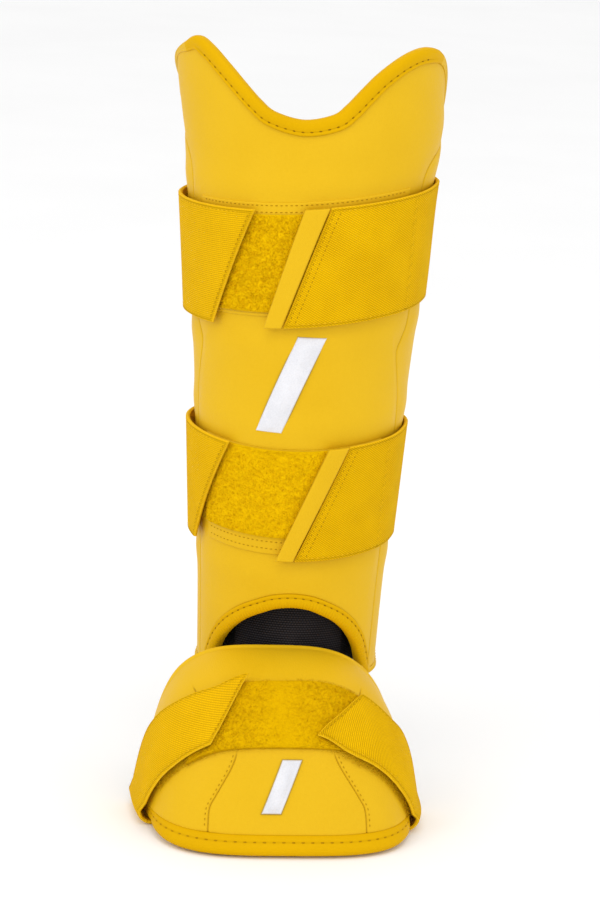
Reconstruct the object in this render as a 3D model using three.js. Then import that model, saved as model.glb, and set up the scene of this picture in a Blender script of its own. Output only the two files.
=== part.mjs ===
import * as THREE from 'three';

// Driving sizes in millimetres and degrees, with heights measured up from the sole
const ankleHeight = 85;
const footTurn = 10.8;
const footShift = -8.5;
const rearEdgeAngle = 108;
const padThickness = 6;
const padEdgeThickness = 3.2;
const padTaper = 24;
const clearance = 0.3;
const layerGap = 0.6;
const seamGapAngle = 0.6;
const bindingWidth = 6.4;
const bindingThickness = 1;
const liningThickness = 2;
const liningGap = 1.4;
const liningSideAngle = 100;
const liningLowerEdge = 71;
const liningArchEdge = 59;
const loopThickness = 1.5;
const strapThickness = 2;
const legStrapWidth = 60;
const strapSnugGap = 0.9;
const strapLooseGap = 2.6;
const tabThickness = 2.8;
const connectorThickness = 1.8;
const connectorHalfAngle = 45;
const connectorTurn = 5;
const badgeHeight = 1.6;

// The foot guard is a hood of squarish section, swung about a line across the foot
const hoodHalfWidth = 71;
const hoodTopShare = 0.855;
const hoodLean = 4.5;
const hoodRearTaper = { share: 0.03, from: 62, to: 86 };
const hoodReach = 84.5;
const hoodAxisForward = 33;
const hoodSquareness = 3.6;
const hoodBaseHeight = 10.5;
const hoodRearLift = 84.9;
const hoodSideTurn = 83;
const toeFlare = 4;
const toeFlareLift = 20;
const rimLowerEdge = 2.6;
const rimToeDrop = 2.4;
const rimThickness = 6.5;
const rimFlare = 6;
const rimFlareTurn = 66;
const rimInnerDrop = 1.3;
const footEndLift = 50;
const footStrapSlope = 0.25;
const footStrapCorner = 6;
const footStrapJoinHeight = 14;

// Outer face of the shin guard: half width, reach in front of and behind the leg's axis, sideways shift
const legSections = [
  { height: 55, halfWidth: 46.8, front: 46, back: 42, shift: 0 },
  { height: 110, halfWidth: 48.9, front: 47, back: 46, shift: 0 },
  { height: 160, halfWidth: 51.8, front: 50.5, back: 52, shift: 0 },
  { height: 215, halfWidth: 55.2, front: 54.5, back: 57, shift: 0 },
  { height: 270, halfWidth: 59.3, front: 57.5, back: 60, shift: 0 },
  { height: 312, halfWidth: 62.1, front: 58.6, back: 60, shift: -0.8 },
  { height: 330, halfWidth: 63.7, front: 59, back: 60, shift: -0.9 },
  { height: 350, halfWidth: 66.2, front: 59.5, back: 59, shift: -0.9 },
  { height: 375, halfWidth: 67.8, front: 60, back: 58, shift: -3.2 },
  { height: 400, halfWidth: 68.7, front: 61, back: 57, shift: -4 },
];

// Upper edge, dipping at the knee between two wings, the left one cut lower; angles count from the front
const topEdge = [
  { angle: 0, height: 358.5, leftDrop: 0 },
  { angle: 13, height: 361.6, leftDrop: 0 },
  { angle: 19.5, height: 366.8, leftDrop: 0 },
  { angle: 27, height: 375, leftDrop: 0 },
  { angle: 34.5, height: 382.6, leftDrop: 0 },
  { angle: 44, height: 389.3, leftDrop: -1 },
  { angle: 53, height: 393, leftDrop: -0.8 },
  { angle: 62, height: 394, leftDrop: 4 },
  { angle: 72, height: 391.6, leftDrop: 6 },
  { angle: 82, height: 385, leftDrop: 5 },
  { angle: 94, height: 372.4, leftDrop: 2.4 },
  { angle: rearEdgeAngle, height: 353, leftDrop: 0 },
];

// Lower edge, arched over the instep a little to one side and rounded up into the rear edge
const archTurn = 6;
const ankleEdge = [
  { angle: 0, height: 108.4 },
  { angle: 10.3, height: 107.2 },
  { angle: 19.7, height: 103.9 },
  { angle: 28, height: 100.2 },
  { angle: 36, height: 95.3 },
  { angle: 42.5, height: 90.1 },
  { angle: 48.4, height: 84 },
  { angle: 52, height: 78.6 },
  { angle: 55, height: 73.4 },
  { angle: 57.8, height: 68.6 },
  { angle: 61.5, height: 66.1 },
  { angle: 66, height: 65.6 },
  { angle: 92, height: 65.6 },
  { angle: 102, height: 69.6 },
  { angle: rearEdgeAngle, height: 80 },
];

// Seam between the front panel and a side panel, pinched in below the upper strap
const sideSeam = [
  { height: 65.6, angle: 71 },
  { height: 100, angle: 71 },
  { height: 135, angle: 71 },
  { height: 170, angle: 71 },
  { height: 200, angle: 70.8 },
  { height: 216, angle: 68.3 },
  { height: 230, angle: 63.5 },
  { height: 241, angle: 60.5 },
  { height: 247, angle: 63.8 },
  { height: 254, angle: 67.6 },
  { height: 268, angle: 68.6 },
  { height: 292, angle: 68 },
  { height: 318, angle: 67 },
  { height: 330, angle: 68.4 },
  { height: 337, angle: 74 },
  { height: 341, angle: 82 },
  { height: 344, angle: 91 },
  { height: 346, angle: 98 },
  { height: 347.5, angle: 103 },
];
const sideTopHeight = 350;

// Leg straps: middle height, tilt, rise at the sides, angles of the slanted ends, loop patch under them
const legStraps = [
  {
    name: 'upper', height: 286.4, tilt: 6, sideRise: 2.4, leftLow: -43.6, leftHigh: -19.8,
    rightLow: -6.2, rightHigh: 13.4, tabLow: -15.4, tabHigh: 2, loopMiddle: 2.1, loopWidth: 49.5,
  },
  {
    name: 'lower', height: 163, tilt: 1.75, sideRise: 3.8, leftLow: -63.7, leftHigh: -32.6,
    rightLow: 5, rightHigh: 31.3, tabLow: -5, tabHigh: 19.7, loopMiddle: 5.1, loopWidth: 47,
  },
];
const loopHalfAngle = 55;

// Seams on the hood: distance from the middle at each lift from the sole
const hoodSeam = [
  { lift: 0, across: 40.2 },
  { lift: 8, across: 40.2 },
  { lift: 15.8, across: 39.2 },
  { lift: 20, across: 36 },
  { lift: 32.5, across: 25.8 },
  { lift: 40, across: 24.5 },
  { lift: 50, across: 30 },
  { lift: 62, across: 42 },
  { lift: 90, across: 43 },
];
const hoodSeamGap = 0.3;

// Ends of the foot strap on the hood: distance from the middle at its rear and front edges
const footStrapEnds = { left: { rear: -15.3, front: -35.6 }, right: { rear: 40.4, front: 15.5 } };

// Edges of the foot strap: distance ahead of the hood's axis, from side to side
const footStrapEdges = [
  { turn: -90, front: 46, rear: 12 },
  { turn: -70, front: 46, rear: 13 },
  { turn: -56, front: 49, rear: 17.5 },
  { turn: -40, front: 52, rear: 22.5 },
  { turn: -18, front: 52.4, rear: 24.2 },
  { turn: -4, front: 51, rear: 18.2 },
  { turn: 5, front: 51, rear: 21 },
  { turn: 15, front: 56.3, rear: 24 },
  { turn: 27, front: 57.6, rear: 25 },
  { turn: 45, front: 57.4, rear: 26.8 },
  { turn: 60, front: 55, rear: 23 },
  { turn: 90, front: 54, rear: 20.5 },
];

// Edges of the loop strip on the hood: lift from the sole, from side to side
const footLoopEdges = [
  { turn: -36, front: 31.5, rear: 50 },
  { turn: -27, front: 33.6, rear: 55.5 },
  { turn: -18, front: 35.2, rear: 59 },
  { turn: -9, front: 36, rear: 61.2 },
  { turn: 0, front: 36.3, rear: 62.5 },
  { turn: 6, front: 36.2, rear: 62.7 },
  { turn: 13, front: 35.8, rear: 62 },
  { turn: 21, front: 35, rear: 60.2 },
  { turn: 27, front: 34, rear: 58.1 },
  { turn: 34, front: 32, rear: 54 },
];

const colours = { leather: 0xeebb1a, strap: 0xe4ae08, loop: 0xdca604, lining: 0x151517, badge: 0xeeeeF2 };

const { degToRad, radToDeg, lerp } = THREE.MathUtils;
const part = new THREE.Group();

function evenly(steps) {
  return Array.from({ length: steps + 1 }, (_, i) => i / steps);
}

// Smooth reading of one column of a table, held level past its first and last rows
function readTable(rows, key, column, at) {
  const last = rows.length - 1;
  const clamped = Math.min(Math.max(at, rows[0][key]), rows[last][key]);
  const found = rows.findIndex((row, i) => i > 0 && clamped <= row[key]);
  const slope = (i) => {
    const from = rows[Math.max(i - 1, 0)];
    const to = rows[Math.min(i + 1, last)];
    return (to[column] - from[column]) / (to[key] - from[key]);
  };
  const [from, to] = [rows[found - 1], rows[found]];
  const width = to[key] - from[key];
  const t = (clamped - from[key]) / width;
  const bend = t * t * (3 - 2 * t);
  const start = t * (1 - t) * (1 - t) * slope(found - 1) * width;
  const end = t * t * (1 - t) * slope(found) * width;
  return lerp(from[column], to[column], bend) + start - end;
}

// A point on the leg's outer face, moved out along its normal
function legPoint(angle, height, offset) {
  const turn = degToRad(angle);
  const halfWidth = readTable(legSections, 'height', 'halfWidth', height);
  const reach = readTable(legSections, 'height', Math.cos(turn) > 0 ? 'front' : 'back', height);
  const normal = new THREE.Vector2(Math.sin(turn) / halfWidth, -Math.cos(turn) / reach).normalize();
  const shift = readTable(legSections, 'height', 'shift', height);
  const point = new THREE.Vector3(halfWidth * Math.sin(turn), -reach * Math.cos(turn), height - ankleHeight);
  point.x += shift + offset * normal.x;
  point.y += offset * normal.y;
  return point;
}

// An edge as a curve of angle and height, from its left end to its right end
function edgeCurve(rows, middleTurn) {
  const place = (side) => (row) => {
    const shift = middleTurn * (1 - (row.angle / rearEdgeAngle) ** 2);
    const drop = side < 0 ? row.leftDrop ?? 0 : 0;
    return new THREE.Vector2(side * row.angle + shift, row.height - drop);
  };
  return new THREE.SplineCurve([...rows.slice(1).reverse().map(place(-1)), ...rows.map(place(1))]);
}

// The share along an edge curve where it passes an angle
function shareAtAngle(curve, angle) {
  let [low, high] = [0, 1];
  for (let pass = 0; pass < 30; pass += 1) {
    const middle = (low + high) / 2;
    if (curve.getPointAt(middle).x < angle) low = middle;
    else high = middle;
  }
  return (low + high) / 2;
}

// A stretch of an edge curve between two angles, read by a share from 0 to 1
function edgeStretch(curve, fromAngle, toAngle) {
  const from = shareAtAngle(curve, fromAngle);
  const to = shareAtAngle(curve, toAngle);
  return (share) => curve.getPointAt(lerp(from, to, share));
}

// An edge's point moved into the panel along the face; the panel lies below it or above it
function insetPoint(curve, share, inset, panelIsBelow) {
  const here = curve.getPointAt(share);
  const along = curve.getTangentAt(share);
  const arc = legPoint(here.x - 0.5, here.y, 0).distanceTo(legPoint(here.x + 0.5, here.y, 0));
  const tangent = new THREE.Vector2(along.x * arc, along.y).normalize();
  const side = panelIsBelow ? -inset : inset;
  return new THREE.Vector2(here.x - (side * tangent.y) / arc, here.y + side * tangent.x);
}

// A patch of angle and height, or of turn and lift, blended between four edges
function coons(bottom, top, left, right) {
  return (u, v) => {
    const ruled = bottom(u).multiplyScalar(1 - v).addScaledVector(top(u), v);
    ruled.addScaledVector(left(v), 1 - u).addScaledVector(right(v), u);
    ruled.addScaledVector(left(0), -(1 - u) * (1 - v)).addScaledVector(right(0), -u * (1 - v));
    return ruled.addScaledVector(left(1), -(1 - u) * v).addScaledVector(right(1), -u * v);
  };
}

function straight(from, to) {
  return (share) => new THREE.Vector2().lerpVectors(from, to, share);
}

// A closed body from points and triangles, with its faces turned outward
function closedBody(points, triangles) {
  const [a, b, c] = [0, 1, 2].map(() => new THREE.Vector3());
  let volume = 0;
  for (let i = 0; i < triangles.length; i += 3) {
    a.copy(points[triangles[i]]);
    b.copy(points[triangles[i + 1]]);
    c.copy(points[triangles[i + 2]]);
    volume += a.dot(b.cross(c));
  }
  const geometry = new THREE.BufferGeometry().setFromPoints(points);
  geometry.setIndex(volume < 0 ? triangles.reverse() : triangles);
  geometry.computeVertexNormals();
  return geometry;
}

// A wall with two faces on the same grid, joined round its four edges
function wall(columns, rows, place) {
  const points = [];
  const triangles = [];
  const index = (face, i, j) => (face * (rows + 1) + j) * (columns + 1) + i;
  const quad = (p, q, r, s) => triangles.push(p, q, r, p, r, s);
  for (const face of [0, 1]) {
    for (let j = 0; j <= rows; j += 1) {
      for (let i = 0; i <= columns; i += 1) points.push(place(i, j, face));
    }
  }
  for (let j = 0; j < rows; j += 1) {
    for (let i = 0; i < columns; i += 1) {
      quad(index(0, i, j), index(0, i + 1, j), index(0, i + 1, j + 1), index(0, i, j + 1));
      quad(index(1, i, j), index(1, i, j + 1), index(1, i + 1, j + 1), index(1, i + 1, j));
    }
    quad(index(0, 0, j), index(0, 0, j + 1), index(1, 0, j + 1), index(1, 0, j));
    quad(index(1, columns, j), index(1, columns, j + 1), index(0, columns, j + 1), index(0, columns, j));
  }
  for (let i = 0; i < columns; i += 1) {
    quad(index(1, i, 0), index(1, i + 1, 0), index(0, i + 1, 0), index(0, i, 0));
    quad(index(0, i, rows), index(0, i + 1, rows), index(1, i + 1, rows), index(1, i, rows));
  }
  return closedBody(points, triangles);
}

function addPiece(name, geometry, colour, roughness) {
  const material = new THREE.MeshStandardMaterial({ color: colour, roughness, metalness: 0 });
  const mesh = new THREE.Mesh(geometry, material);
  mesh.name = name;
  part.add(mesh);
}

// Shin guard: a padded front panel between two padded side panels
const topCurve = edgeCurve(topEdge, 0);
const ankleCurve = edgeCurve(ankleEdge, archTurn);
const seamFoot = sideSeam[0];
const seamHead = sideSeam[sideSeam.length - 1];
const topHeight = topEdge[topEdge.length - 1].height;
const frontPanelColumns = 28;
const sidePanelColumns = 5;
const frontRows = [
  ...sideSeam.map((row) => row.height),
  sideTopHeight,
  topHeight,
];

function seamAngle(height) {
  return height > seamHead.height ? rearEdgeAngle : readTable(sideSeam, 'height', 'angle', height);
}

// Thickness of the padding, thinned towards the upper and lower edges
function padDepth(angle, height) {
  const above = topCurve.getPointAt(shareAtAngle(topCurve, angle)).y - height;
  const below = height - ankleCurve.getPointAt(shareAtAngle(ankleCurve, angle)).y;
  const ease = THREE.MathUtils.smoothstep(Math.min(above, below), 0, padTaper);
  return lerp(padEdgeThickness, padThickness, ease);
}

function padWall(columns, shares, patch) {
  return wall(columns, shares.length - 1, (i, j, face) => {
    const at = patch(i / columns, shares[j]);
    return legPoint(at.x, at.y, -face * padDepth(at.x, at.y));
  });
}

function shinFrontPanel() {
  const height = (v) => lerp(seamFoot.height, topHeight, v);
  const seam = (side) => (v) => new THREE.Vector2(side * seamAngle(height(v)), height(v));
  const lower = edgeStretch(ankleCurve, -seamFoot.angle, seamFoot.angle);
  const upper = edgeStretch(topCurve, -rearEdgeAngle, rearEdgeAngle);
  const shares = frontRows.map((row) => (row - seamFoot.height) / (topHeight - seamFoot.height));
  return padWall(frontPanelColumns, shares, coons(lower, upper, seam(-1), seam(1)));
}

function shinSidePanel(side) {
  const rearFoot = new THREE.Vector2(side * rearEdgeAngle, ankleEdge[ankleEdge.length - 1].height);
  const rearHead = new THREE.Vector2(side * rearEdgeAngle, sideTopHeight - clearance);
  const seam = (v) => {
    const height = lerp(seamFoot.height, seamHead.height, v);
    return new THREE.Vector2(side * (seamAngle(height) + seamGapAngle), height);
  };
  const lower = edgeStretch(ankleCurve, side * (seamFoot.angle + seamGapAngle), side * rearEdgeAngle);
  const upper = straight(seam(1), rearHead);
  const span = seamHead.height - seamFoot.height;
  const shares = sideSeam.map((row) => (row.height - seamFoot.height) / span);
  return padWall(sidePanelColumns, shares, coons(lower, upper, seam, straight(rearFoot, rearHead)));
}

addPiece('shin_front_panel', shinFrontPanel(), colours.leather, 0.5);
addPiece('shin_side_panel_left', shinSidePanel(-1), colours.leather, 0.5);
addPiece('shin_side_panel_right', shinSidePanel(1), colours.leather, 0.5);

// Lining behind the panels, stood off low down to leave room for the connector
const liningStandOff = { low: 3.1, from: 158, to: 134 };
const liningArch = { from: 58, to: 76 };

function liningFoot(angle) {
  const outside = THREE.MathUtils.smoothstep(Math.abs(angle - archTurn), liningArch.from, liningArch.to);
  return lerp(liningArchEdge, liningLowerEdge, outside);
}

function shinLining() {
  const inset = bindingWidth + 2 * clearance;
  const shares = evenly(40).slice(2, -2);
  const rim = new THREE.SplineCurve(shares.map((share) => insetPoint(topCurve, share, inset, true)));
  const upper = edgeStretch(rim, -liningSideAngle, liningSideAngle);
  const rows = [0, 0.12, 0.21, 0.27, 0.33, 0.55, 0.8, 1];
  const columns = 18;
  return wall(columns, rows.length - 1, (i, j, face) => {
    const low = lerp(-liningSideAngle, liningSideAngle, i / columns);
    const high = upper(i / columns);
    const height = lerp(liningFoot(low), high.y, rows[j]);
    const ease = THREE.MathUtils.smoothstep(-height, -liningStandOff.from, -liningStandOff.to);
    const depth = padThickness + liningGap + liningStandOff.low * ease + face * liningThickness;
    return legPoint(lerp(low, high.x, rows[j]), height, -depth);
  });
}

addPiece('shin_lining', shinLining(), colours.lining, 0.9);

// Bindings folded over the upper and lower edges of the padded panels
const bindingOuter = layerGap + bindingThickness;
const bindingCorner = 2;
const bindingMiddle = 4;
const bindingTurn = bindingCorner - bindingOuter;
const bindingProfile = [
  { back: 0, inset: bindingWidth, offset: bindingOuter, innerInset: bindingWidth, innerOffset: layerGap },
  { back: 0, inset: bindingTurn, offset: bindingOuter, innerInset: bindingMiddle, innerOffset: layerGap },
  { back: 0, inset: -bindingOuter, offset: -bindingTurn, innerInset: -layerGap, innerOffset: layerGap },
  { back: 1, inset: -bindingOuter, offset: bindingTurn, innerInset: -layerGap, innerOffset: -layerGap },
  { back: 1, inset: bindingTurn, offset: -bindingOuter, innerInset: bindingMiddle, innerOffset: -layerGap },
  { back: 1, inset: bindingWidth, offset: -bindingOuter, innerInset: bindingWidth, innerOffset: -layerGap },
];

function binding(curve, shares, panelIsBelow) {
  return wall(shares.length - 1, bindingProfile.length - 1, (i, j, face) => {
    const { inset, offset, innerInset, innerOffset, back } = bindingProfile[j];
    const at = insetPoint(curve, shares[i], face ? innerInset : inset, panelIsBelow);
    return legPoint(at.x, at.y, (face ? innerOffset : offset) - back * padDepth(at.x, at.y));
  });
}

function ankleShares() {
  const [left, right] = [-seamFoot.angle, seamFoot.angle].map((angle) => shareAtAngle(ankleCurve, angle));
  const leftSide = evenly(sidePanelColumns).map((share) => lerp(0, left, share));
  const front = evenly(frontPanelColumns).map((share) => lerp(left, right, share));
  const rightSide = evenly(sidePanelColumns).map((share) => lerp(right, 1, share));
  return [...leftSide, ...front.slice(1), ...rightSide.slice(1)];
}

addPiece('shin_top_binding', binding(topCurve, evenly(frontPanelColumns), true), colours.leather, 0.5);
addPiece('ankle_binding', binding(ankleCurve, ankleShares(), false), colours.leather, 0.6);

// Leg straps: each runs from its tab round the back of the leg to its slanted left end
const loopBase = clearance;
const strapBase = loopBase + loopThickness + layerGap;

function strapPoint(strap, angle, across, offset) {
  const turn = degToRad(angle);
  const halfWidth = readTable(legSections, 'height', 'halfWidth', strap.height);
  const tilted = Math.tan(degToRad(strap.tilt)) * halfWidth * Math.sin(turn);
  const rise = tilted + strap.sideRise * Math.sin(turn) ** 2;
  return legPoint(angle, strap.height + across + rise, offset);
}

// Gap under a leg strap on its way round: over the loop patch, snug on the right, looser on the left
const strapRest = [
  { angle: 0, gap: strapBase },
  { angle: loopHalfAngle + 3, gap: strapBase },
  { angle: 82, gap: strapSnugGap },
  { angle: 180, gap: strapSnugGap },
  { angle: 260, gap: strapLooseGap },
  { angle: 282, gap: strapLooseGap },
  { angle: 357 - loopHalfAngle, gap: strapBase },
  { angle: 360, gap: strapBase },
];

function loopPatch(strap) {
  const [columns, rows] = [14, 2];
  return wall(columns, rows, (i, j, face) => {
    const angle = lerp(-loopHalfAngle, loopHalfAngle, i / columns);
    const across = strap.loopMiddle + strap.loopWidth * (j / rows - 0.5);
    return strapPoint(strap, angle, across, loopBase + (1 - face) * loopThickness);
  });
}

function legStrap(strap) {
  const [columns, rows] = [38, 5];
  return wall(columns, rows, (i, j, face) => {
    const from = lerp(strap.rightLow, strap.rightHigh, j / rows);
    const to = 360 + lerp(strap.leftLow, strap.leftHigh, j / rows);
    const angle = lerp(from, to, i / columns);
    const offset = readTable(strapRest, 'angle', 'gap', angle) + (1 - face) * strapThickness;
    return strapPoint(strap, angle, legStrapWidth * (j / rows - 0.5), offset);
  });
}

function strapTab(strap) {
  const [columns, rows] = [3, 5];
  return wall(columns, rows, (i, j, face) => {
    const from = lerp(strap.tabLow, strap.tabHigh, j / rows);
    const to = lerp(strap.rightLow, strap.rightHigh, j / rows) - seamGapAngle;
    const offset = strapBase + (1 - face) * tabThickness;
    return strapPoint(strap, lerp(from, to, i / columns), legStrapWidth * (j / rows - 0.5), offset);
  });
}

for (const strap of legStraps) {
  addPiece(`${strap.name}_loop_panel`, loopPatch(strap), colours.loop, 0.95);
  addPiece(`${strap.name}_strap`, legStrap(strap), colours.strap, 0.8);
  addPiece(`${strap.name}_tab`, strapTab(strap), colours.leather, 0.5);
}

// The foot points a little outward and sits a little to one side of the leg's axis
const footPlacement = new THREE.Matrix4().makeRotationZ(degToRad(footTurn)).setPosition(footShift, 0, 0);
const footFrame = footPlacement.clone().invert();

// A point on the hood at a turn to the side and a lift from the sole, moved out along its normal
function hoodPoint(turn, lift, offset) {
  const power = 2 / hoodSquareness;
  const side = Math.sign(turn) * Math.abs(Math.sin(degToRad(turn))) ** power;
  const share = Math.cos(degToRad(turn)) ** power;
  const flare = toeFlare * Math.max(0, 1 - lift / toeFlareLift) ** 2;
  const reach = share * (hoodReach + flare);
  const [cos, sin] = [Math.cos(degToRad(lift)), Math.sin(degToRad(lift))];
  const swell = share ** (hoodSquareness - 1) / hoodReach;
  const lean = (Math.sign(side) * Math.abs(side) ** (hoodSquareness - 1)) / hoodHalfWidth;
  const normal = new THREE.Vector3(lean, -swell * cos, swell * sin).normalize();
  const taper = THREE.MathUtils.smoothstep(lift, hoodRearTaper.from, hoodRearTaper.to);
  const narrowed = lerp(1, hoodTopShare, share * sin) - hoodRearTaper.share * taper;
  const across = hoodHalfWidth * side * narrowed;
  const aside = hoodLean * (share * sin) ** 2;
  const point = new THREE.Vector3(across - aside, -hoodAxisForward - reach * cos, reach * sin - ankleHeight);
  return point.addScaledVector(normal, offset).applyMatrix4(footPlacement);
}

// The turn that lies a given distance from the foot's middle at a lift
function hoodTurn(across, lift) {
  const sin = Math.sin(degToRad(lift));
  const side = across / (hoodHalfWidth * lerp(1, hoodTopShare, sin));
  return Math.sign(side) * radToDeg(Math.asin(Math.abs(side) ** (hoodSquareness / 2)));
}

function hoodReachAt(turn) {
  return hoodReach * Math.cos(degToRad(turn)) ** (2 / hoodSquareness);
}

function hoodBaseLift(turn) {
  return radToDeg(Math.asin(hoodBaseHeight / hoodReachAt(turn)));
}

// Foot guard: a middle panel between two side panels, joined at darted seams
function hoodSeamLine(side, gap) {
  const base = hoodBaseLift(hoodTurn(side * hoodSeam[0].across, 0));
  return (v) => {
    const lift = lerp(base, hoodRearLift, v);
    const across = side * (readTable(hoodSeam, 'lift', 'across', lift) + gap);
    return new THREE.Vector2(hoodTurn(across, lift), lift);
  };
}

function hoodBaseLine(fromTurn, toTurn) {
  const base = (turn) => new THREE.Vector2(turn, hoodBaseLift(turn));
  return (share) => base(lerp(fromTurn, toTurn, share));
}

function hoodWall(columns, patch) {
  const rows = 14;
  return wall(columns, rows, (i, j, face) => {
    const at = patch(i / columns, j / rows);
    return hoodPoint(at.x, at.y, -face * padThickness);
  });
}

function footTopPanel() {
  const [left, right] = [hoodSeamLine(-1, -hoodSeamGap), hoodSeamLine(1, -hoodSeamGap)];
  return hoodWall(12, coons(hoodBaseLine(left(0).x, right(0).x), straight(left(1), right(1)), left, right));
}

function footSidePanel(side) {
  const seam = hoodSeamLine(side, hoodSeamGap);
  const outerTurn = side * hoodSideTurn;
  const outer = straight(
    new THREE.Vector2(outerTurn, hoodBaseLift(outerTurn)),
    new THREE.Vector2(outerTurn, hoodRearLift),
  );
  return hoodWall(8, coons(hoodBaseLine(seam(0).x, outerTurn), straight(seam(1), outer(1)), seam, outer));
}

addPiece('foot_top_panel', footTopPanel(), colours.leather, 0.5);
addPiece('foot_side_panel_left', footSidePanel(-1), colours.leather, 0.5);
addPiece('foot_side_panel_right', footSidePanel(1), colours.leather, 0.5);

// Rim below the hood's base, flared at the toe and tucked in below; drop runs down its height
const rimProfile = [
  { flareShare: 0, tuck: 0, drop: 0 },
  { flareShare: 0.7, tuck: 0, drop: 0.45 },
  { flareShare: 0.9, tuck: 0.4, drop: 0.8 },
  { flareShare: 0.5, tuck: 3, drop: 1 },
];

function footRim() {
  const steps = 36;
  const upper = hoodBaseHeight - clearance - ankleHeight;
  return wall(steps, rimProfile.length - 1, (i, j, face) => {
    const { flareShare, tuck, drop } = rimProfile[j];
    const turn = lerp(-hoodSideTurn, hoodSideTurn, i / steps);
    const onBase = hoodPoint(turn, hoodBaseLift(turn), 0);
    const outward = hoodPoint(turn, hoodBaseLift(turn), 1).sub(onBase).setZ(0).normalize();
    const toeShare = Math.max(0, 1 - (turn / rimFlareTurn) ** 4);
    const reach = face ? -rimThickness : flareShare * rimFlare * toeShare - tuck;
    const top = face ? upper - rimInnerDrop : upper;
    const lower = rimLowerEdge - rimToeDrop * toeShare ** 2 - ankleHeight;
    return onBase.addScaledVector(outward, reach).setZ(lerp(top, lower, drop));
  });
}

addPiece('foot_rim', footRim(), colours.leather, 0.55);

// Loop strip across the hood
function footLoopPanel() {
  const [columns, rows] = [18, 4];
  const [left, right] = [footLoopEdges[0].turn, footLoopEdges[footLoopEdges.length - 1].turn];
  return wall(columns, rows, (i, j, face) => {
    const turn = lerp(left, right, i / columns);
    const [front, rear] = ['front', 'rear'].map((edge) => readTable(footLoopEdges, 'turn', edge, turn));
    const lift = lerp(rear, front, j / rows);
    return hoodPoint(turn, lift, face ? layerGap : loopBase + loopThickness);
  });
}

addPiece('foot_loop_panel', footLoopPanel(), colours.loop, 0.95);

// Foot strap: over the hood in a sloping plane, down both sides and under the sole
function footStrapPlane(v, turn) {
  const [front, rear] = ['front', 'rear'].map((edge) => readTable(footStrapEdges, 'turn', edge, turn));
  return lerp(rear, front, v);
}

function footStrapLift(v, turn) {
  const ahead = footStrapPlane(v, turn);
  const square = 1 + footStrapSlope ** 2;
  const half = footStrapSlope * ahead;
  const rest = ahead ** 2 - hoodReachAt(turn) ** 2;
  const height = (Math.sqrt(Math.max(0, half ** 2 - square * rest)) - half) / square;
  return radToDeg(Math.atan2(height, ahead + footStrapSlope * height));
}

function footStrapTurnAt(v, side, height) {
  const ahead = footStrapPlane(v, side * 90) + footStrapSlope * height;
  const share = Math.hypot(ahead, height) / hoodReach;
  return side * radToDeg(Math.acos(share ** (hoodSquareness / 2)));
}

function footStrapHalf(v, side, endTurn, offset) {
  const points = [];
  const join = footStrapTurnAt(v, side, footStrapJoinHeight);
  for (const share of evenly(12)) {
    const turn = lerp(endTurn, join, share);
    points.push(hoodPoint(turn, footStrapLift(v, turn), offset));
  }
  const foot = hoodPoint(footStrapTurnAt(v, side, rimLowerEdge), 0, strapBase).applyMatrix4(footFrame);
  const centreX = side * foot.x - footStrapCorner;
  const radius = footStrapCorner + offset - strapBase;
  const ahead = hoodAxisForward + footStrapPlane(v, side * 90);
  for (const quarter of evenly(4)) {
    const turn = (quarter * Math.PI) / 2;
    const height = strapThickness + footStrapCorner - radius * Math.sin(turn);
    const x = side * (centreX + radius * Math.cos(turn));
    const y = -ahead - footStrapSlope * height;
    points.push(new THREE.Vector3(x, y, height - ankleHeight).applyMatrix4(footPlacement));
  }
  const middle = hoodAxisForward + (footStrapPlane(v, -90) + footStrapPlane(v, 90)) / 2;
  for (const outward of [0.67, 0.33]) {
    const y = -lerp(middle, ahead, outward);
    const sole = new THREE.Vector3(side * centreX * outward, y, points[points.length - 1].z);
    points.push(sole.applyMatrix4(footPlacement));
  }
  return points;
}

function footStrap() {
  const rows = 3;
  const lines = [1, 0].map((outer) => evenly(rows).map((v) => {
    const offset = strapBase + outer * strapThickness;
    const end = ({ rear, front }) => hoodTurn(lerp(rear, front, v), footEndLift);
    const left = footStrapHalf(v, -1, end(footStrapEnds.left), offset);
    const right = footStrapHalf(v, 1, end(footStrapEnds.right), offset);
    return [...left, ...right.reverse()];
  }));
  return wall(lines[0][0].length - 1, rows, (i, j, face) => lines[face][j][i]);
}

addPiece('foot_strap', footStrap(), colours.strap, 0.8);

// Connector: webbing from behind the ankle arch, bent forward under the hood's rear edge
const connectorTop = 119;
const connectorBend = 80;
const connectorLowest = 57;
const connectorEndLift = 70;
const connectorUpright = 0.4;
const connectorDepth = padThickness + 2 * layerGap + bindingThickness + connectorThickness / 2;

function connectorPoint(u, v) {
  const angle = connectorTurn + lerp(-connectorHalfAngle, connectorHalfAngle, u);
  if (v < connectorUpright) {
    return legPoint(angle, lerp(connectorTop, connectorBend, v / connectorUpright), -connectorDepth);
  }
  const from = legPoint(angle, connectorBend, -connectorDepth);
  const under = padThickness + clearance + connectorThickness / 2;
  const across = from.clone().applyMatrix4(footFrame).x;
  const to = hoodPoint(hoodTurn(across, connectorEndLift), connectorEndLift, -under);
  const corner = legPoint(angle, connectorLowest, -connectorDepth);
  const share = (v - connectorUpright) / (1 - connectorUpright);
  return new THREE.QuadraticBezierCurve3(from, corner, to).getPoint(share);
}

function ankleConnector() {
  const [columns, rows] = [8, 12];
  const nudge = 0.002;
  return wall(columns, rows, (i, j, face) => {
    const [u, v] = [i / columns, j / rows];
    const here = connectorPoint(u, v);
    const across = connectorPoint(u + nudge, v).sub(connectorPoint(u - nudge, v));
    const along = connectorPoint(u, v + nudge).sub(connectorPoint(u, v - nudge));
    const normal = across.cross(along).normalize();
    return here.addScaledVector(normal, connectorThickness * (0.5 - face));
  });
}

addPiece('ankle_connector', ankleConnector(), colours.lining, 0.85);

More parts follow.
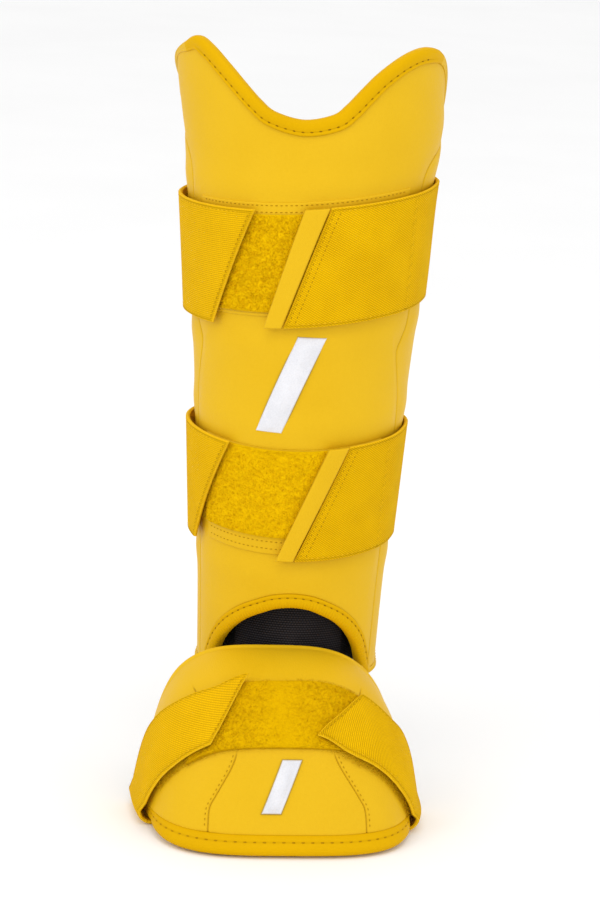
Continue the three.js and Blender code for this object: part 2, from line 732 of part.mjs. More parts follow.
// Raised plain badges: slanted bars with bevelled edges
const badgeBevel = 0.14;
const shinBadge = { height: 226, halfHeight: 26, slant: 10, halfWidth: 7.5, middle: -2 };
const footBadge = { lift: 23.2, halfLift: 9.5, slant: 6, halfWidth: 5.5, middle: -2.9 };

function badge(place) {
  const [columns, rows] = [2, 4];
  return wall(columns, rows, (i, j, face) => {
    const shrink = face === 0 ? 1 - badgeBevel : 1;
    const offset = layerGap + (1 - face) * badgeHeight;
    return place(shrink * (2 * (i / columns) - 1), shrink * (2 * (j / rows) - 1), offset);
  });
}

addPiece('shin_badge', badge((across, up, offset) => {
  const reach = readTable(legSections, 'height', 'front', shinBadge.height);
  const x = shinBadge.middle + across * shinBadge.halfWidth + up * shinBadge.slant;
  return legPoint(radToDeg(x / reach), shinBadge.height + up * shinBadge.halfHeight, offset);
}), colours.badge, 0.4);
addPiece('foot_badge', badge((across, up, offset) => {
  const x = footBadge.middle + across * footBadge.halfWidth + up * footBadge.slant;
  const lift = footBadge.lift + up * footBadge.halfLift;
  return hoodPoint(hoodTurn(x, lift), lift, offset);
}), colours.badge, 0.4);

export default part;
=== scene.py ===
import math

import bpy
import numpy as np
from mathutils import Matrix


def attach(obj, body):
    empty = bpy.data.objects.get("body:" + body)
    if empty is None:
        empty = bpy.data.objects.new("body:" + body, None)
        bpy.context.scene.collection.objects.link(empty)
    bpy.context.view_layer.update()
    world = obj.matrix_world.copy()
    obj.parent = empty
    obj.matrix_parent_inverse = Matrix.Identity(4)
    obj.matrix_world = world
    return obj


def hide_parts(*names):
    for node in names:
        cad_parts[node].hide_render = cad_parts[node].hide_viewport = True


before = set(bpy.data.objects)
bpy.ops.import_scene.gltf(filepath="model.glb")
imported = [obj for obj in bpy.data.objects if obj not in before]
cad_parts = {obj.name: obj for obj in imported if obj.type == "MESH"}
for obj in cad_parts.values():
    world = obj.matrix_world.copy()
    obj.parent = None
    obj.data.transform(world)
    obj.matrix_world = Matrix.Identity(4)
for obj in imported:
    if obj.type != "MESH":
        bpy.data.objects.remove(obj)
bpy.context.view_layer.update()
rng = np.random.default_rng(11)

# Sizes in millimetres and degrees, the same as the solids'; heights are measured up from the sole
ANKLE, LEG_RADIUS, STRAP_RADIUS = 85.0, 56.0, 58.0
FOOT_TURN, FOOT_SHIFT = math.radians(10.8), -8.5
REAR_ANGLE = 108.0
PAD, PAD_EDGE, PAD_TAPER = 6.0, 3.2, 24.0
BINDING_WIDTH, ARCH_TURN = 6.4, 6.0
STRAP_WIDTH, STRAP_THICK = 60.0, 2.0
LOOP_BASE, LOOP_THICK, LAYER = 0.3, 1.5, 0.6
STRAP_BASE = LOOP_BASE + LOOP_THICK + LAYER
LOOP_ANGLE = 55.0
TAB_WIDTH, TAB_THICK = 9.6, 2.8
HOOD_HALF, HOOD_TOP, HOOD_LEAN = 71.0, 0.855, 4.5
HOOD_TAPER, TAPER_FROM, TAPER_TO = 0.03, 62.0, 86.0
HOOD_REACH, HOOD_AXIS, HOOD_POWER = 84.5, 33.0, 3.6
HOOD_BASE, HOOD_REAR, HOOD_SIDE = 10.5, 84.9, 83.0
TOE_FLARE, TOE_LIFT = 4.0, 20.0
RIM_LOW, RIM_DROP, RIM_FLARE, RIM_TURN, RIM_THICK = 2.6, 2.4, 6.0, 66.0, 6.5
FOOT_WIDTH, FOOT_SLOPE, FOOT_CORNER, FOOT_JOIN, FOOT_END_LIFT = 31.0, 0.25, 6.0, 14.0, 50.0
FRINGE_TURN = 58.0

# Sewn detail that only shows close up: skins nearly meet at seams, stitch rows sit in shallow grooves
SEAM_GAP, HOOD_SEAM_GAP = 0.15, 0.05
# Stitch inset from an edge; width of the painted highlight band along strap edges; angle of the strap's
# sewn seam
STITCH_INSET, EDGE_HIGHLIGHT_WIDTH, SEWN_ANGLE = 1.9, 0.25, 57.0
RIB_FROM, RIB_STEP, RIB_PITCH = 255.0, 0.25, 1.6

# A stitch's length and radius, its pitch along a row; the count, height and radius of a pile's fibres
BINDING_THREAD, RIM_THREAD, PATCH_THREAD = (1.5, 0.36), (1.7, 0.34), (1.3, 0.24)
SEAM_THREAD, END_THREAD, HEM_THREAD = (1.2, 0.18), (1.3, 0.22), (1.5, 0.24)
RIM_PITCH, PATCH_PITCH, SEAM_PITCH, CLOSE_PITCH, HEM_PITCH = 4.75, 2.5, 2.6, 2.4, 2.7
LEG_PILE, FOOT_PILE, FRINGE = (8000, 0.6, 0.075), (12000, 0.6, 0.075), (1500, 0.9, 0.085)
PILE_ROUGH = 0.16


def table(names, *rows):
    return dict(zip(names.split(), np.array(rows, float).T))


LEG = table("height half front back shift",
            (55, 46.8, 46, 42, 0), (110, 48.9, 47, 46, 0), (160, 51.8, 50.5, 52, 0),
            (215, 55.2, 54.5, 57, 0), (270, 59.3, 57.5, 60, 0), (312, 62.1, 58.6, 60, -0.8),
            (330, 63.7, 59, 60, -0.9), (350, 66.2, 59.5, 59, -0.9), (375, 67.8, 60, 58, -3.2),
            (400, 68.7, 61, 57, -4))
TOP_EDGE = table("angle height drop",
                 (0, 358.5, 0), (13, 361.6, 0), (19.5, 366.8, 0), (27, 375, 0), (34.5, 382.6, 0),
                 (44, 389.3, -1), (53, 393, -0.8), (62, 394, 4), (72, 391.6, 6), (82, 385, 5),
                 (94, 372.4, 2.4), (REAR_ANGLE, 353, 0))
ANKLE_EDGE = table("angle height", (0, 108.4), (10.3, 107.2), (19.7, 103.9), (28, 100.2), (36, 95.3),
                   (42.5, 90.1), (48.4, 84), (52, 78.6), (55, 73.4), (57.8, 68.6), (61.5, 66.1),
                   (66, 65.6), (92, 65.6), (102, 69.6), (REAR_ANGLE, 80))
SIDE_SEAM = table("height angle", (65.6, 71), (100, 71), (135, 71), (170, 71), (200, 70.8), (216, 68.3),
                  (230, 63.5), (241, 60.5), (247, 63.8), (254, 67.6), (268, 68.6), (292, 68), (318, 67),
                  (330, 68.4), (337, 74), (341, 82), (344, 91), (346, 98), (347.5, 103))
SIDE_TOP = 350.0
HOOD_SEAM = table("lift across", (0, 40.2), (8, 40.2), (15.8, 39.2), (20, 36), (32.5, 25.8), (40, 24.5),
                  (50, 30), (62, 42), (90, 43))
FOOT_STRAP = table("turn front rear", (-90, 46, 12), (-70, 46, 13), (-56, 49, 17.5), (-40, 52, 22.5),
                   (-18, 52.4, 24.2), (-4, 51, 18.2), (5, 51, 21), (15, 56.3, 24), (27, 57.6, 25),
                   (45, 57.4, 26.8), (60, 55, 23), (90, 54, 20.5))
FOOT_ENDS = {-1: (-15.3, -35.6), 1: (40.4, 15.5)}
FOOT_LOOP = table("turn front rear", (-36, 31.5, 50), (-27, 33.6, 55.5), (-18, 35.2, 59),
                  (-9, 36, 61.2), (0, 36.3, 62.5), (6, 36.2, 62.7), (13, 35.8, 62), (21, 35, 60.2),
                  (27, 34, 58.1), (34, 32, 54))
STRAP_REST = table("angle gap", (0, STRAP_BASE), (58, STRAP_BASE), (82, 0.9), (180, 0.9), (260, 2.6),
                   (282, 2.6), (302, STRAP_BASE), (360, STRAP_BASE))
STRAPS = {
    "upper": dict(height=286.4, tilt=6, rise=2.4, left=(-43.6, -19.8), right=(-6.2, 13.4), tab=(-15.4, 2),
                  loop=(-22.65, 26.85), length=330.0, margins=(1.8, 6.2), rows=(28.2, 31.6)),
    "lower": dict(height=163, tilt=1.75, rise=3.8, left=(-63.7, -32.6), right=(5, 31.3), tab=(-5, 19.7),
                  loop=(-18.4, 28.6), length=300.0, margins=(9.0, 0.6), rows=(-20.6, -24.4)),
}


def read(rows, column, at):
    """Smooth reading of a column by the table's first one, level past its first and last rows."""
    x, y = next(iter(rows.values())), rows[column]
    at = np.clip(at, x[0], x[-1])
    low, high = np.r_[0, np.arange(len(x) - 1)], np.r_[np.arange(1, len(x)), len(x) - 1]
    slope = (y[high] - y[low]) / (x[high] - x[low])
    i = np.clip(np.searchsorted(x, at), 1, len(x) - 1)
    width = x[i] - x[i - 1]
    t = (at - x[i - 1]) / width
    bent = y[i - 1] + (y[i] - y[i - 1]) * t * t * (3 - 2 * t)
    return bent + t * (1 - t) ** 2 * slope[i - 1] * width - t * t * (1 - t) * slope[i] * width


def lerp(a, b, t):
    return a + (b - a) * t


def smooth(low, high, x):
    t = np.clip((x - low) / (high - low), 0, 1)
    return t * t * (3 - 2 * t)


def within(x, ends, fade):
    """1 between two ends, falling to 0 over a distance beyond them."""
    return smooth(ends[0] - fade, ends[0], x) * (1 - smooth(ends[1], ends[1] + fade, x))


def bell(d, middle, width):
    """1 at a distance, falling away smoothly on both sides of it."""
    return np.exp(-(((d - middle) / width) ** 2))


def edge_round(d, radius):
    """From 0 at an edge to 1 at a distance, along a quarter circle."""
    return np.sqrt(1 - np.clip(1 - d / radius, 0, 1) ** 2)


def unit(v):
    return v / np.linalg.norm(v, axis=-1, keepdims=True)


def square_to(v, n):
    """The unit vector along the part of v that lies square to n."""
    return unit(v - n * np.sum(v * n, axis=-1, keepdims=True))


def run_along(points, axis=0):
    """Distance along a line of points, or along one way of a grid, from its start."""
    steps = np.linalg.norm(np.diff(points, axis=axis), axis=-1)
    return np.pad(np.cumsum(steps, axis=axis), [(int(k == axis), 0) for k in range(steps.ndim)])


def points_at(where, run, points):
    """Points at places along a line whose own points lie at the distances in run."""
    return np.stack([np.interp(where, run, column) for column in points.T], -1)


# The shapes that everything lies on: the leg's outer face and the hood over the foot
def leg(angle, height, offset=0.0):
    angle, height, offset = np.broadcast_arrays(*np.atleast_1d(angle, height, offset))
    turn = np.radians(angle)
    half, front, back, shift = (read(LEG, key, height) for key in ("half", "front", "back", "shift"))
    reach = np.where(np.cos(turn) > 0, front, back)
    nx, ny = np.sin(turn) / half, -np.cos(turn) / reach
    size = np.hypot(nx, ny)
    x = half * np.sin(turn) + shift + offset * nx / size
    return np.stack([x, -reach * np.cos(turn) + offset * ny / size, height - ANKLE], -1)


def placed(x, y, z):
    c, s = math.cos(FOOT_TURN), math.sin(FOOT_TURN)
    return np.stack([x * c - y * s + FOOT_SHIFT, x * s + y * c, z], -1)


def unplaced_x(p):
    c, s = math.cos(FOOT_TURN), math.sin(FOOT_TURN)
    return (p[..., 0] - FOOT_SHIFT) * c + p[..., 1] * s


def hood(turn, lift, offset=0.0):
    turn, lift, offset = np.broadcast_arrays(*np.atleast_1d(turn, lift, offset))
    a, b = np.radians(turn), np.radians(lift)
    side = np.sign(a) * np.abs(np.sin(a)) ** (2 / HOOD_POWER)
    share = np.maximum(np.cos(a), 0) ** (2 / HOOD_POWER)
    reach = share * (HOOD_REACH + TOE_FLARE * np.maximum(0, 1 - lift / TOE_LIFT) ** 2)
    swell_y = share ** (HOOD_POWER - 1) / HOOD_REACH
    swell_x = np.sign(side) * np.abs(side) ** (HOOD_POWER - 1) / HOOD_HALF
    n = unit(np.stack([swell_x, -swell_y * np.cos(b), swell_y * np.sin(b)], -1))
    high = share * np.sin(b)
    narrowed = lerp(1, HOOD_TOP, high) - HOOD_TAPER * smooth(TAPER_FROM, TAPER_TO, lift)
    x = HOOD_HALF * side * narrowed - HOOD_LEAN * high**2 + offset * n[..., 0]
    y = -HOOD_AXIS - reach * np.cos(b) + offset * n[..., 1]
    return placed(x, y, reach * np.sin(b) - ANKLE + offset * n[..., 2])


def hood_turn(across, lift):
    side = across / (HOOD_HALF * lerp(1, HOOD_TOP, np.sin(np.radians(lift))))
    return np.sign(side) * np.degrees(np.arcsin(np.minimum(1, np.abs(side)) ** (HOOD_POWER / 2)))


def hood_reach(turn):
    return HOOD_REACH * np.maximum(np.cos(np.radians(turn)), 1e-6) ** (2 / HOOD_POWER)


def hood_base(turn):
    return np.degrees(np.arcsin(HOOD_BASE / hood_reach(turn)))


class Edge:
    """A smooth edge in angle and height, read by a share of its length."""

    def __init__(self, rows, middle_turn):
        shift = middle_turn * (1 - (rows["angle"] / REAR_ANGLE) ** 2)
        right = np.stack([shift + rows["angle"], rows["height"]], 1)
        left = np.stack([shift - rows["angle"], rows["height"] - rows.get("drop", 0)], 1)
        p = np.vstack([left[:0:-1], right])
        last, between_rows = len(p) - 1, 40
        at = np.linspace(0, last, between_rows * last + 1)
        i = np.minimum(at.astype(int), last - 1)
        t = (at - i)[:, None]
        a, b, c, d = p[np.maximum(i - 1, 0)], p[i], p[i + 1], p[np.minimum(i + 2, last)]
        v0, v1 = (c - a) / 2, (d - b) / 2
        cubic, square = 2 * b - 2 * c + v0 + v1, -3 * b + 3 * c - 2 * v0 - v1
        self.points = cubic * t**3 + square * t**2 + v0 * t + b
        run = run_along(self.points)
        self.share = run / run[-1]

    def at(self, share):
        return points_at(share, self.share, self.points)

    def share_of(self, angle):
        return np.interp(angle, self.points[:, 0], self.share)

    def height(self, angle):
        return np.interp(angle, self.points[:, 0], self.points[:, 1])

    def stretch(self, start, end):
        a, b = self.share_of(start), self.share_of(end)
        return lambda t: self.at(lerp(a, b, t))

    def inset(self, share, inset, below):
        """The edge moved into its panel, which lies below it or above it."""
        step = 0.004
        share, inset = np.broadcast_arrays(*np.atleast_1d(share, inset))
        here = self.at(share)
        along = self.at(np.minimum(share + step, 1)) - self.at(np.maximum(share - step, 0))
        degree = leg(here[..., 0] - 0.5, here[..., 1]) - leg(here[..., 0] + 0.5, here[..., 1])
        arc = np.linalg.norm(degree, axis=-1)
        along = unit(np.stack([along[..., 0] * arc, along[..., 1]], -1))
        side = -inset if below else inset
        turn, rise = side * along[..., 1] / arc, side * along[..., 0]
        return np.stack([here[..., 0] - turn, here[..., 1] + rise], -1)


top_edge, ankle_edge = Edge(TOP_EDGE, 0.0), Edge(ANKLE_EDGE, ARCH_TURN)
seam_foot, seam_head = SIDE_SEAM["height"][0], SIDE_SEAM["height"][-1]
seam_foot_angle, top_height = SIDE_SEAM["angle"][0], TOP_EDGE["height"][-1]


def pad_depth(angle, height):
    """Thickness of the padding, thinned towards the upper and lower edges."""
    inside = np.minimum(top_edge.height(angle) - height, height - ankle_edge.height(angle))
    return lerp(PAD_EDGE, PAD, smooth(0, PAD_TAPER, inside))


def coons(bottom, top, left, right, u, v):
    """A patch blended between four edges, on a grid of two shares."""
    u, v = np.meshgrid(u, v)
    uu, vv = u[..., None], v[..., None]
    zero, one = np.zeros(1), np.ones(1)
    ruled = bottom(u) * (1 - vv) + top(u) * vv + left(v) * (1 - uu) + right(v) * uu
    ruled = ruled - left(zero) * (1 - uu) * (1 - vv) - right(zero) * uu * (1 - vv)
    return ruled - left(one) * (1 - uu) * vv - right(one) * uu * vv


def between(a, b):
    return lambda t: lerp(np.array(a), np.array(b), np.asarray(t)[..., None])


FINE = (0, 0.12, 0.3, 0.55, 0.85, 1.2, 1.7, 2.4, 3.4, 4.8)


def shares(length, step, fine=FINE, ends="both"):
    """Shares of a length in mm, close together by its ends."""
    fine = np.array(fine)
    plain = np.arange(0, fine[-1] + 1e-6, step)
    count = max(2, int((length - 2 * fine[-1]) / step))
    inner = np.linspace(fine[-1], length - fine[-1], count)[1:-1]
    low = fine if ends in ("both", "low") else plain
    high = fine if ends in ("both", "high") else plain
    return np.unique(np.r_[low, inner, length - high]) / length


def from_edges(share, length):
    return np.minimum(share, 1 - share) * length


def border(u, width, v, height):
    """Distance from the nearest edge, over a grid of shares of a width and a height."""
    return np.minimum(from_edges(u, width)[None], from_edges(v, height)[:, None])


# Mesh making: all points are in millimetres until here
def new_piece(name, points, faces, materials, slot, replaces=None, face_mats=None, attributes=None):
    mesh = bpy.data.meshes.new(name)
    mesh.from_pydata((np.asarray(points) * 0.001).tolist(), [], faces)
    mesh.polygons.foreach_set("use_smooth", np.ones(len(mesh.polygons), bool))
    for material in materials:
        mesh.materials.append(material)
    if face_mats is not None:
        mesh.polygons.foreach_set("material_index", np.asarray(face_mats, np.int32))
    for key, values in (attributes or {}).items():
        values = np.asarray(values, np.float32)
        kind = "FLOAT" if values.ndim == 1 else "FLOAT_VECTOR"
        data = mesh.attributes.new(key, kind, "POINT").data
        data.foreach_set("value" if kind == "FLOAT" else "vector", values.ravel())
    mesh.update()
    obj = bpy.data.objects.new(name, mesh)
    bpy.context.collection.objects.link(obj)
    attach(obj, "root")
    if replaces:
        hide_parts(replaces)
    return obj


def signed_volume(p, quads):
    a, b, c, d = (p[quads[:, k]] for k in range(4))
    return np.sum(a * np.cross(c, d - b))


def mark_sharp(mesh, ring, n):
    """Sharp edges round both grids of a wall, which have n points each."""
    grid = np.zeros(2 * n)
    grid[ring], grid[ring + n] = 1, 2
    pairs = np.empty(2 * len(mesh.edges), np.int32)
    mesh.edges.foreach_get("vertices", pairs)
    start, end = grid[pairs[::2]], grid[pairs[1::2]]
    data = mesh.attributes.new("sharp_edge", "BOOLEAN", "EDGE").data
    data.foreach_set("value", (start == end) & (start > 0))


def shell(name, outer, inner, materials, crease_shade=0.0, cloth=None, outer_mat=0, inner_mat=0,
          sharp=False, **rest):
    """A closed wall between two grids of points, joined round its border."""
    rows, columns = outer.shape[:2]
    points = np.vstack([outer.reshape(-1, 3), inner.reshape(-1, 3)])
    n = rows * columns
    index = np.arange(n).reshape(rows, columns)
    a, b = index[:-1, :-1].ravel(), index[:-1, 1:].ravel()
    c, d = index[1:, 1:].ravel(), index[1:, :-1].ravel()
    front, back = np.stack([a, b, c, d], 1), np.stack([a, d, c, b], 1) + n
    ring = np.r_[index[0, :-1], index[:-1, -1], index[-1, :0:-1], index[:0:-1, 0]]
    follow = np.roll(ring, -1)
    faces = np.vstack([front, back, np.stack([ring, ring + n, follow + n, follow], 1)])
    mats = np.r_[0 * a + np.ravel(outer_mat), 0 * a + inner_mat, 0 * ring]
    if signed_volume(points, faces) < 0:
        faces = faces[:, ::-1]
    # This attribute holds painted shade for the piece's creases, seams, grooves and edges
    attributes = {"crease_shade": np.tile(np.clip(np.broadcast_to(crease_shade, index.shape), 0, 1).ravel(), 2)}
    if cloth is not None:
        flat = np.stack(np.broadcast_arrays(*cloth, 0.0 * index), -1).reshape(-1, 3)
        attributes["cloth"] = np.vstack([flat, flat])
    obj = new_piece(name, points, faces.tolist(), materials, face_mats=mats, attributes=attributes, **rest)
    if sharp:
        mark_sharp(obj.data, ring, n)
    return obj


def tube_faces(points):
    """Sides and ends of closed tubes; points is a grid of tubes, rings, places round a ring and xyz."""
    index = np.arange(points[..., 0].size).reshape(points.shape[:3])
    after = np.roll(index, -1, axis=2)
    sides = np.stack([index[:, 1:], after[:, 1:], after[:, :-1], index[:, :-1]], -1).reshape(-1, 4)
    return sides, sides.tolist() + index[:, 0].tolist() + index[:, -1, ::-1].tolist()


def sweep(name, rings, materials, crease_shade, side_mats=None, **rest):
    """A closed section carried along a path, with its two ends filled."""
    points = rings.reshape(-1, 3)
    sides, faces = tube_faces(rings[None])
    if signed_volume(points, sides) < 0:
        faces = [f[::-1] for f in faces]
    mats = None if side_mats is None else np.r_[side_mats, side_mats[0], side_mats[-1]]
    # This attribute holds painted shade for the piece's folds and stitch grooves
    attributes = {"crease_shade": crease_shade.ravel()}
    return new_piece(name, points, faces, materials, face_mats=mats, attributes=attributes, **rest)


def resample(points, normals, pitch):
    """Evenly spaced places along a line of points, with their directions and normals."""
    step, run = 0.4, run_along(points)
    count = max(1, int(run[-1] / pitch))
    at = (np.arange(count) + 0.5) * run[-1] / count
    along = unit(points_at(at + step, run, points) - points_at(at - step, run, points))
    return points_at(at, run, points), along, square_to(points_at(at, run, normals), along)


def sewing(place, offset, pitch, tilt=0):
    """A line for stitches; place gives its points at an offset from the surface."""
    points = place(offset)
    return points, place(offset + 1) - points, pitch, tilt


def stitches(name, lines, thread, material, slot):
    """Short rounded threads laid along lines: each line is (points, normals, pitch, tilt in degrees)."""
    length, radius = thread
    rows = np.array([-0.5, -0.38, 0.0, 0.38, 0.5])
    fat = np.array([0.25, 0.85, 1.0, 0.85, 0.25])[:, None, None]
    sag = radius * (0.35 - 1.8 * rows**2)[:, None]
    sides = 6
    spin = (np.arange(sides) * 2 * np.pi / sides)[:, None]
    tubes = []
    for points, normals, pitch, tilt in lines:
        at, along, up = (grid[:, None] for grid in resample(points, normals, pitch))
        across = np.cross(along, up)
        c, s = math.cos(math.radians(tilt)), math.sin(math.radians(tilt))
        way, aside = along * c + across * s, across * c - along * s
        stretch = length * (1 + 0.16 * (rng.random((len(at), 1, 1)) - 0.5))
        centre = at + way * rows[:, None] * stretch + up * sag
        around = np.cos(spin) * aside + 0.8 * np.sin(spin) * up
        tubes.append(centre[:, :, None] + radius * fat * around[:, None])
    points = np.concatenate(tubes)
    return new_piece(name, points.reshape(-1, 3), tube_faces(points)[1], [material], slot=slot)


def pile(name, place, size, material, keep=None):
    """Small curled fibres standing on a patch; place takes two shares and an offset."""
    count, height, radius = size
    a, b = rng.random(count), rng.random(count)
    if keep is not None:
        inside = keep(a, b)
        a, b = a[inside], b[inside]
    root = place(a, b, -0.15)
    up = unit(place(a, b, 1.0) - root)
    flat = square_to(rng.normal(size=up.shape), up)
    cross = np.cross(up, flat)
    tall = height * (0.55 + 0.75 * rng.random(len(a)))[:, None]
    lean = height * (0.3 + rng.random(len(a)))[:, None]
    rings = []
    for rise, reach, wide in ((0, 0, 1.0), (0.7, 0.25, 1.0), (1.0, 0.75, 0.85)):
        centre = root + up * tall * rise + flat * lean * reach
        rings += [centre + radius * wide * (math.cos(q) * cross + math.sin(q) * (up + flat) / 2)
                  for q in (0, 2 * math.pi / 3, 4 * math.pi / 3)]
    tip = root + up * tall * 0.72 + flat * lean * 1.25
    points = np.stack(rings + [tip], 1)
    start = (np.arange(len(a)) * points.shape[1])[:, None, None]
    corners = (0, 1), (1, 2), (2, 0)
    quads = np.array([(k + m, k + n, k + 3 + n, k + 3 + m) for m, n in corners for k in (0, 3)])
    tris = np.array([(2, 1, 0)] + [(6 + m, 6 + n, 9) for m, n in corners])
    faces = (start + quads).reshape(-1, 4).tolist() + (start + tris).reshape(-1, 3).tolist()
    return new_piece(name, points.reshape(-1, 3), faces, [material], slot="loop_pile")


# Materials
class Nodes:
    """One node material, with short ways to add and join its nodes."""

    def __init__(self, name, shine):
        self.material = bpy.data.materials.new(name)
        self.material.use_nodes = True
        self.tree = self.material.node_tree
        self.shader = self.tree.nodes["Principled BSDF"]
        self.shader.inputs["Specular IOR Level"].default_value = shine
        # The place on the object in millimetres
        place = self.add("TexCoord", "Object")
        self.at = self.add("VectorMath", 0, {0: place, "Scale": 1000.0}, operation="SCALE")

    def put(self, value, socket):
        if isinstance(value, bpy.types.NodeSocket):
            self.tree.links.new(value, socket)
        else:
            socket.default_value = value

    def add(self, kind, output, inputs=None, **settings):
        """An output of a new node, whose inputs are set or joined."""
        n = self.tree.nodes.new("ShaderNode" + kind)
        for key, value in settings.items():
            setattr(n, key, value)
        for key, value in (inputs or {}).items():
            self.put(value, n.inputs[key])
        return n.outputs[output]

    def math(self, operation, *values):
        return self.add("Math", 0, dict(enumerate(values)), operation=operation)

    def blend(self, *terms):
        """A sum of (value, weight) terms."""
        total = 0.0
        for value, weight in terms:
            total = self.math("MULTIPLY_ADD", value, weight, total)
        return total

    def attribute(self, name, output="Fac"):
        return self.add("Attribute", output, attribute_name=name)

    def noise(self, scale, detail=3.0, roughness=0.55):
        inputs = {"Vector": self.at, "Scale": scale, "Detail": detail, "Roughness": roughness}
        return self.add("TexNoise", "Fac", inputs)

    def cells(self, scale):
        return self.add("TexVoronoi", "Distance", {"Vector": self.at, "Scale": scale})

    def wave(self, value, pitch):
        return self.math("SINE", self.math("MULTIPLY", value, 2 * math.pi / pitch))

    def ramp(self, factor, *stops):
        n = self.tree.nodes.new("ShaderNodeValToRGB")
        ends = n.color_ramp.elements
        ends[0].position, ends[0].color = stops[0][0], (*stops[0][1], 1)
        ends[1].position, ends[1].color = stops[-1][0], (*stops[-1][1], 1)
        for at, colour in stops[1:-1]:
            ends.new(at).color = (*colour, 1)
        self.put(factor, n.inputs["Fac"])
        return n.outputs["Color"]

    def crease_shaded(self, colour, share, dark):
        """A colour darkened towards a dark one by a share of an attribute: painted shade in creases, seams,
        grooves and along edges.
        """
        painted_shade_share = self.math("MULTIPLY", self.attribute("crease_shade"), share)
        inputs = {"Factor": painted_shade_share, "A": colour, "B": (*dark, 1)}
        return self.add("Mix", "Result", inputs, data_type="RGBA")

    def span(self, value, low, high, start=0.0, end=1.0):
        return self.add("MapRange", "Result", dict(enumerate((value, start, end, low, high))))

    def finish(self, colour, roughness, *bumps):
        """The material; each bump is (height, distance, strength), laid over the one before."""
        self.put(colour, self.shader.inputs["Base Color"])
        self.put(roughness, self.shader.inputs["Roughness"])
        under = {}
        for height, distance, strength in bumps:
            inputs = {"Height": height, "Distance": distance, "Strength": strength, **under}
            under = {"Normal": self.add("Bump", "Normal", inputs)}
        for key, value in under.items():
            self.put(value, self.shader.inputs[key])
        return self.material


def srgb(r, g, b):
    value = np.array([r, g, b]) / 255
    return tuple(np.where(value <= 0.04045, value / 12.92, ((value + 0.055) / 1.055) ** 2.4).tolist())


def midway(a, b, t):
    return lerp(np.array(a), np.array(b), t).tolist()


def leather(name, light, deep, dark, shine):
    m = Nodes(name, shine)
    broad, fine, grain = m.noise(0.018, 2.0), m.noise(0.55, 5.0, 0.6), m.cells(1.25)
    tone = m.blend((broad, 0.72), (fine, 0.28))
    colour = m.ramp(tone, (0.3, deep), (0.5, midway(deep, light, 0.55)), (0.7, light))
    # Painted shade: towards the dark colour where creases and seams are marked, by an amount that varies
    # with the fine noise
    colour = m.crease_shaded(colour, m.span(fine, 0.75, 1.15, 0.3, 0.7), dark)
    rough = m.span(m.blend((fine, 0.6), (grain, 0.4)), 0.38, 0.58, 0.2, 0.8)
    return m.finish(colour, rough, (fine, 0.0006, 0.14), (grain, 0.00022, 0.24))


def woven(name, light, dark, pattern, shine=0.04, middle=0.62):
    m = Nodes(name, shine)
    cloth = {0: m.attribute("cloth", "Vector")}
    u, v = m.add("SeparateXYZ", "X", cloth), m.add("SeparateXYZ", "Y", cloth)
    if pattern == "twill":
        cord = m.span(m.wave(m.blend((u, 0.72), (v, 1.0)), 1.15), 0.0, 1.0, -1.0, 1.0)
        tick = m.span(m.wave(m.blend((u, 1.0), (v, -0.72)), 1.3), 0.55, 1.0, -1.0, 1.0)
    elif pattern == "rib":
        cord = m.math("ABSOLUTE", m.wave(v, 2.0))
        tick = m.span(m.wave(u, 1.2), 0.72, 1.0, -1.0, 1.0)
    else:
        cord = m.math("ABSOLUTE", m.wave(v, 2.6))
        step = m.math("FLOOR", m.math("DIVIDE", v, 1.3))
        tick = m.span(m.math("ABSOLUTE", m.wave(m.blend((u, 1.0), (step, 0.7)), 2.8)), 0.5, 1.0)
    height = m.math("MULTIPLY", m.math("POWER", cord, 0.65), tick)
    fuzz, broad = m.noise(2.6, 4.0, 0.7), m.noise(0.05, 2.0)
    level = m.blend((height, 0.62), (fuzz, 0.26), (broad, 0.3))
    colour = m.ramp(level, (0.12, dark), (0.5, midway(dark, light, middle)), (0.95, light))
    # Painted shade in creases and grooves, towards a darker tone of the cloth
    colour = m.crease_shaded(colour, 0.8, midway((0, 0, 0), dark, 0.45))
    rough = m.span(fuzz, 0.75, 0.95, 0.25, 0.75)
    return m.finish(colour, rough, (fuzz, 0.0003, 0.25), (height, 0.00042, 0.75))


def brushed(name, light, dark):
    m = Nodes(name, 0.02)
    tuft, fuzz, patch = m.cells(0.85), m.noise(1.9, 5.0, 0.75), m.noise(0.11, 3.0)
    level = m.blend((fuzz, 0.6), (patch, 0.4), (tuft, -0.18))
    colour = m.ramp(level, (0.22, dark), (0.45, midway(dark, light, 0.6)), (0.72, light))
    # Painted shade in creases and grooves, towards a darker tone of the pile
    colour = m.crease_shaded(colour, 0.6, midway((0, 0, 0), dark, 0.5))
    return m.finish(colour, m.span(fuzz, 0.82, 1.0), (tuft, 0.0004, 0.3), (fuzz, 0.0006, 0.5))


def threads(name, light, dark):
    m = Nodes(name, 0.05)
    twist, tone = m.noise(3.2, 2.0), m.noise(0.3, 2.0)
    colour = m.ramp(m.blend((twist, 0.6), (tone, 0.4)), (0.3, dark), (0.7, light))
    return m.finish(colour, m.span(twist, 0.6, 0.85), (twist, 0.0002, 0.5))


def moulded(name, light, shade, outline_shade):
    m = Nodes(name, 0.4)
    fine, broad = m.noise(1.4, 4.0), m.noise(0.06, 2.0)
    colour = m.ramp(m.blend((fine, 0.45), (broad, 0.55)), (0.3, shade), (0.65, light))
    # The skirt round the bar's foot takes a painted shade colour where it meets the panel
    return m.finish(m.crease_shaded(colour, 1.0, outline_shade), m.span(fine, 0.3, 0.5), (fine, 0.0002, 0.25))


def pale_floor(name):
    m = Nodes(name, 0.1)
    fine, broad = m.noise(0.25, 4.0), m.noise(0.004, 2.0)
    colour = m.ramp(broad, (0.3, (0.93, 0.93, 0.93)), (0.7, (0.95, 0.95, 0.95)))
    return m.finish(colour, m.span(fine, 0.75, 0.95))
